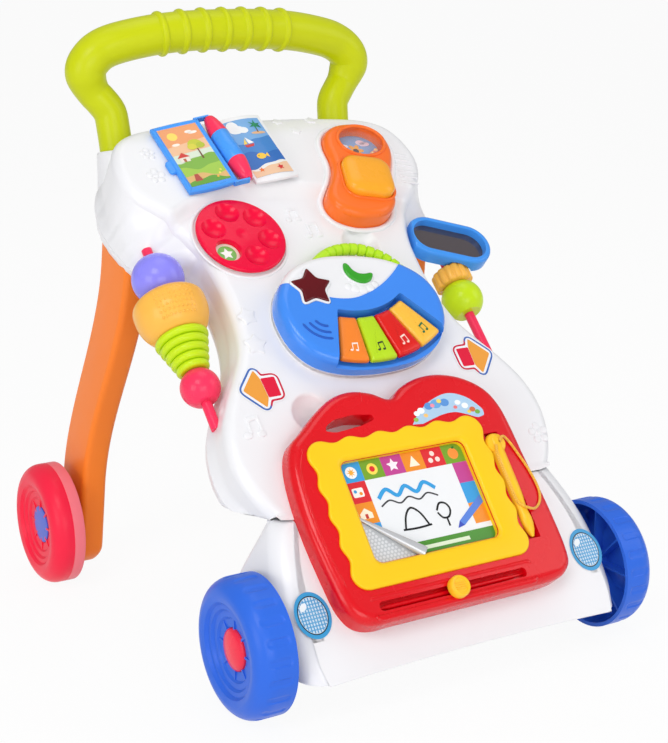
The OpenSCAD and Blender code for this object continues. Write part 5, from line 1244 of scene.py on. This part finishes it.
for side, word in SIDES:
    def part(pts, r):
        "A softened outline, mirrored on the right, still anticlockwise."
        return soften([Vector((-side*x, y)) for x, y in (pts if side < 0 else reversed(pts))], r, 0.7)
    full = part([(-13.8, 0), (0, -16), (4, -8.2), (14.5, -8), (14.5, 8), (3, 8), (0, 15.5)], 1.5)
    edge = shrink(full, -3.4)
    paint("arrow_" + word, "frame", face_place(side*95, -14.5),
        [(shrink(full, -4.4), (240, 240, 243), 0), (edge, (58, 104, 184), 1),
        ([Vector((-side*max(-side*p.x, 3.4), p.y)) for p in edge], (206, 24, 60), 2),
        (shrink(full, -1.9), (240, 241, 244), 3),
        (part([(-13.8, 0), (0, -16), (3.9, -8.2), (2.9, 8), (0, 15.5)], 1.2), (238, 160, 62), 4),
        (part([(4.1, -8.2), (14.5, -8), (14.5, 8), (3.1, 8)], 0.6), (226, 18, 58), 5)])
    lamp = discs([(56, 13.5, 16.5, 0, 0, (60, 158, 214), 0), (56, 11.2, 13.7, 0, 0, (24, 30, 40), 1),
        (56, 10.5, 12.9, 0, 0, (206, 226, 240), 2)])
    for i in range(-4, 5):
        w, h = (r*sqrt(max(0.02, 1 - (i*p/q)**2)) for r, p, q in ((10.2, 2.5, 12.6), (12.6, 2.2, 10.2)))
        lamp += [(rect(-w, i*2.5 - 0.45, w, i*2.5 + 0.45), (104, 176, 222), 3),
            (rect(i*2.2 - 0.45, -h, i*2.2 + 0.45, h), (84, 160, 214), 4)]
    lamp.append((ring_points(3.4, 24, 2.2, (-5.4, 6.6), 40), (240, 247, 252), 5))
    paint("lamp_" + word, "frame", face_place(side*118, -185, 0.35), lamp)

# ------------------------------------------------------------------ CAD pieces that stay
for mat, names in ((WHITE, "base_cover battery_door"), (STEEL, "front_axle rear_axle_left rear_axle_right screws"),
        (PINK, "bead_rod_left bead_rod_right"), (MIRROR, "mirror_plate"), (GLASS, "bead_window"), (DARK, "speaker"),
        (BOARD_GREEN, "circuit_board"), (CELL, "batteries"), (ink(CARD), "dial_picture")):
    for name in names.split():
        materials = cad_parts[name].data.materials
        materials.clear()
        materials.append(mat)

# ------------------------------------------------------------------ stage and light
PURE = (1, 1, 1, 1)
sheet = bpy.data.meshes.new("floor")
sheet.from_pydata([(-40, -40, 0), (40, -40, 0), (40, 40, 0), (-40, 40, 0)], [], [(0, 1, 2, 3)])
floor = bpy.data.objects.new("floor", sheet)
link(floor)
pale, nt, _ = material("pale_floor")
nt.nodes.clear()
rays = nt.nodes.new("ShaderNodeLightPath").outputs
seen = node(nt, "Math", {0: rays["Is Camera Ray"], 1: rays["Is Glossy Ray"]}, operation="MAXIMUM")
seen = node(nt, "Math", {0: seen, 1: rays["Is Transmission Ray"]}, operation="MAXIMUM")
fill(nt, nt.nodes.new("ShaderNodeOutputMaterial"), {"Surface": node(nt, "MixShader", {
    "Fac": node(nt, "Math", {0: seen, 1: 0.93}, operation="MULTIPLY"),
    1: node(nt, "BsdfDiffuse", {"Color": (0.95, 0.95, 0.95, 1)}),
    2: node(nt, "Emission", {"Color": PURE, "Strength": 1.0})})})
sheet.materials.append(pale)

world = bpy.data.worlds.new("studio")
bpy.context.scene.world = world
world.use_nodes = True
nt = world.node_tree
nt.nodes.clear()
fill(nt, nt.nodes.new("ShaderNodeOutputWorld"), {"Surface": node(nt, "MixShader", {
    "Fac": node(nt, "LightPath", {}, "Is Camera Ray"),
    1: node(nt, "Background", {"Color": PURE, "Strength": 0.42}),
    2: node(nt, "Background", {"Color": PURE, "Strength": 1.0})})})
for name, at, aim, size, power in (("key_light", (-1.3, -1.1, 2.0), (0, 0, 0.2), (0.9, 0.9), 13),
        ("top_light", (0.3, 0.2, 2.4), (0, 0, 0.2), (1.3, 1.3), 7),
        ("right_light", (1.8, -1.2, 1.2), (0, 0, 0.2), (1.0, 1.4), 7.5),
        ("front_light", (-0.5, -2.4, 0.7), (0, -0.15, 0.2), (1.6, 1.0), 14),
        ("glint_light", (-0.7, -1.3, 1.9), (0, 0, 0.2), (0.14, 0.5), 1.2),
        ("left_light", (-2.2, -0.9, 0.7), (0, 0.1, 0.15), (1.2, 1.0), 12)):
    lamp = bpy.data.lights.new(name, "AREA")
    lamp.shape, lamp.energy = "RECTANGLE", power
    lamp.size, lamp.size_y = size
    o = bpy.data.objects.new(name, lamp)
    link(o)
    o.location = at
    o.rotation_euler = (Vector(aim) - Vector(at)).to_track_quat("-Z", "Y").to_euler()
bpy.context.scene.view_settings.view_transform = "Standard"
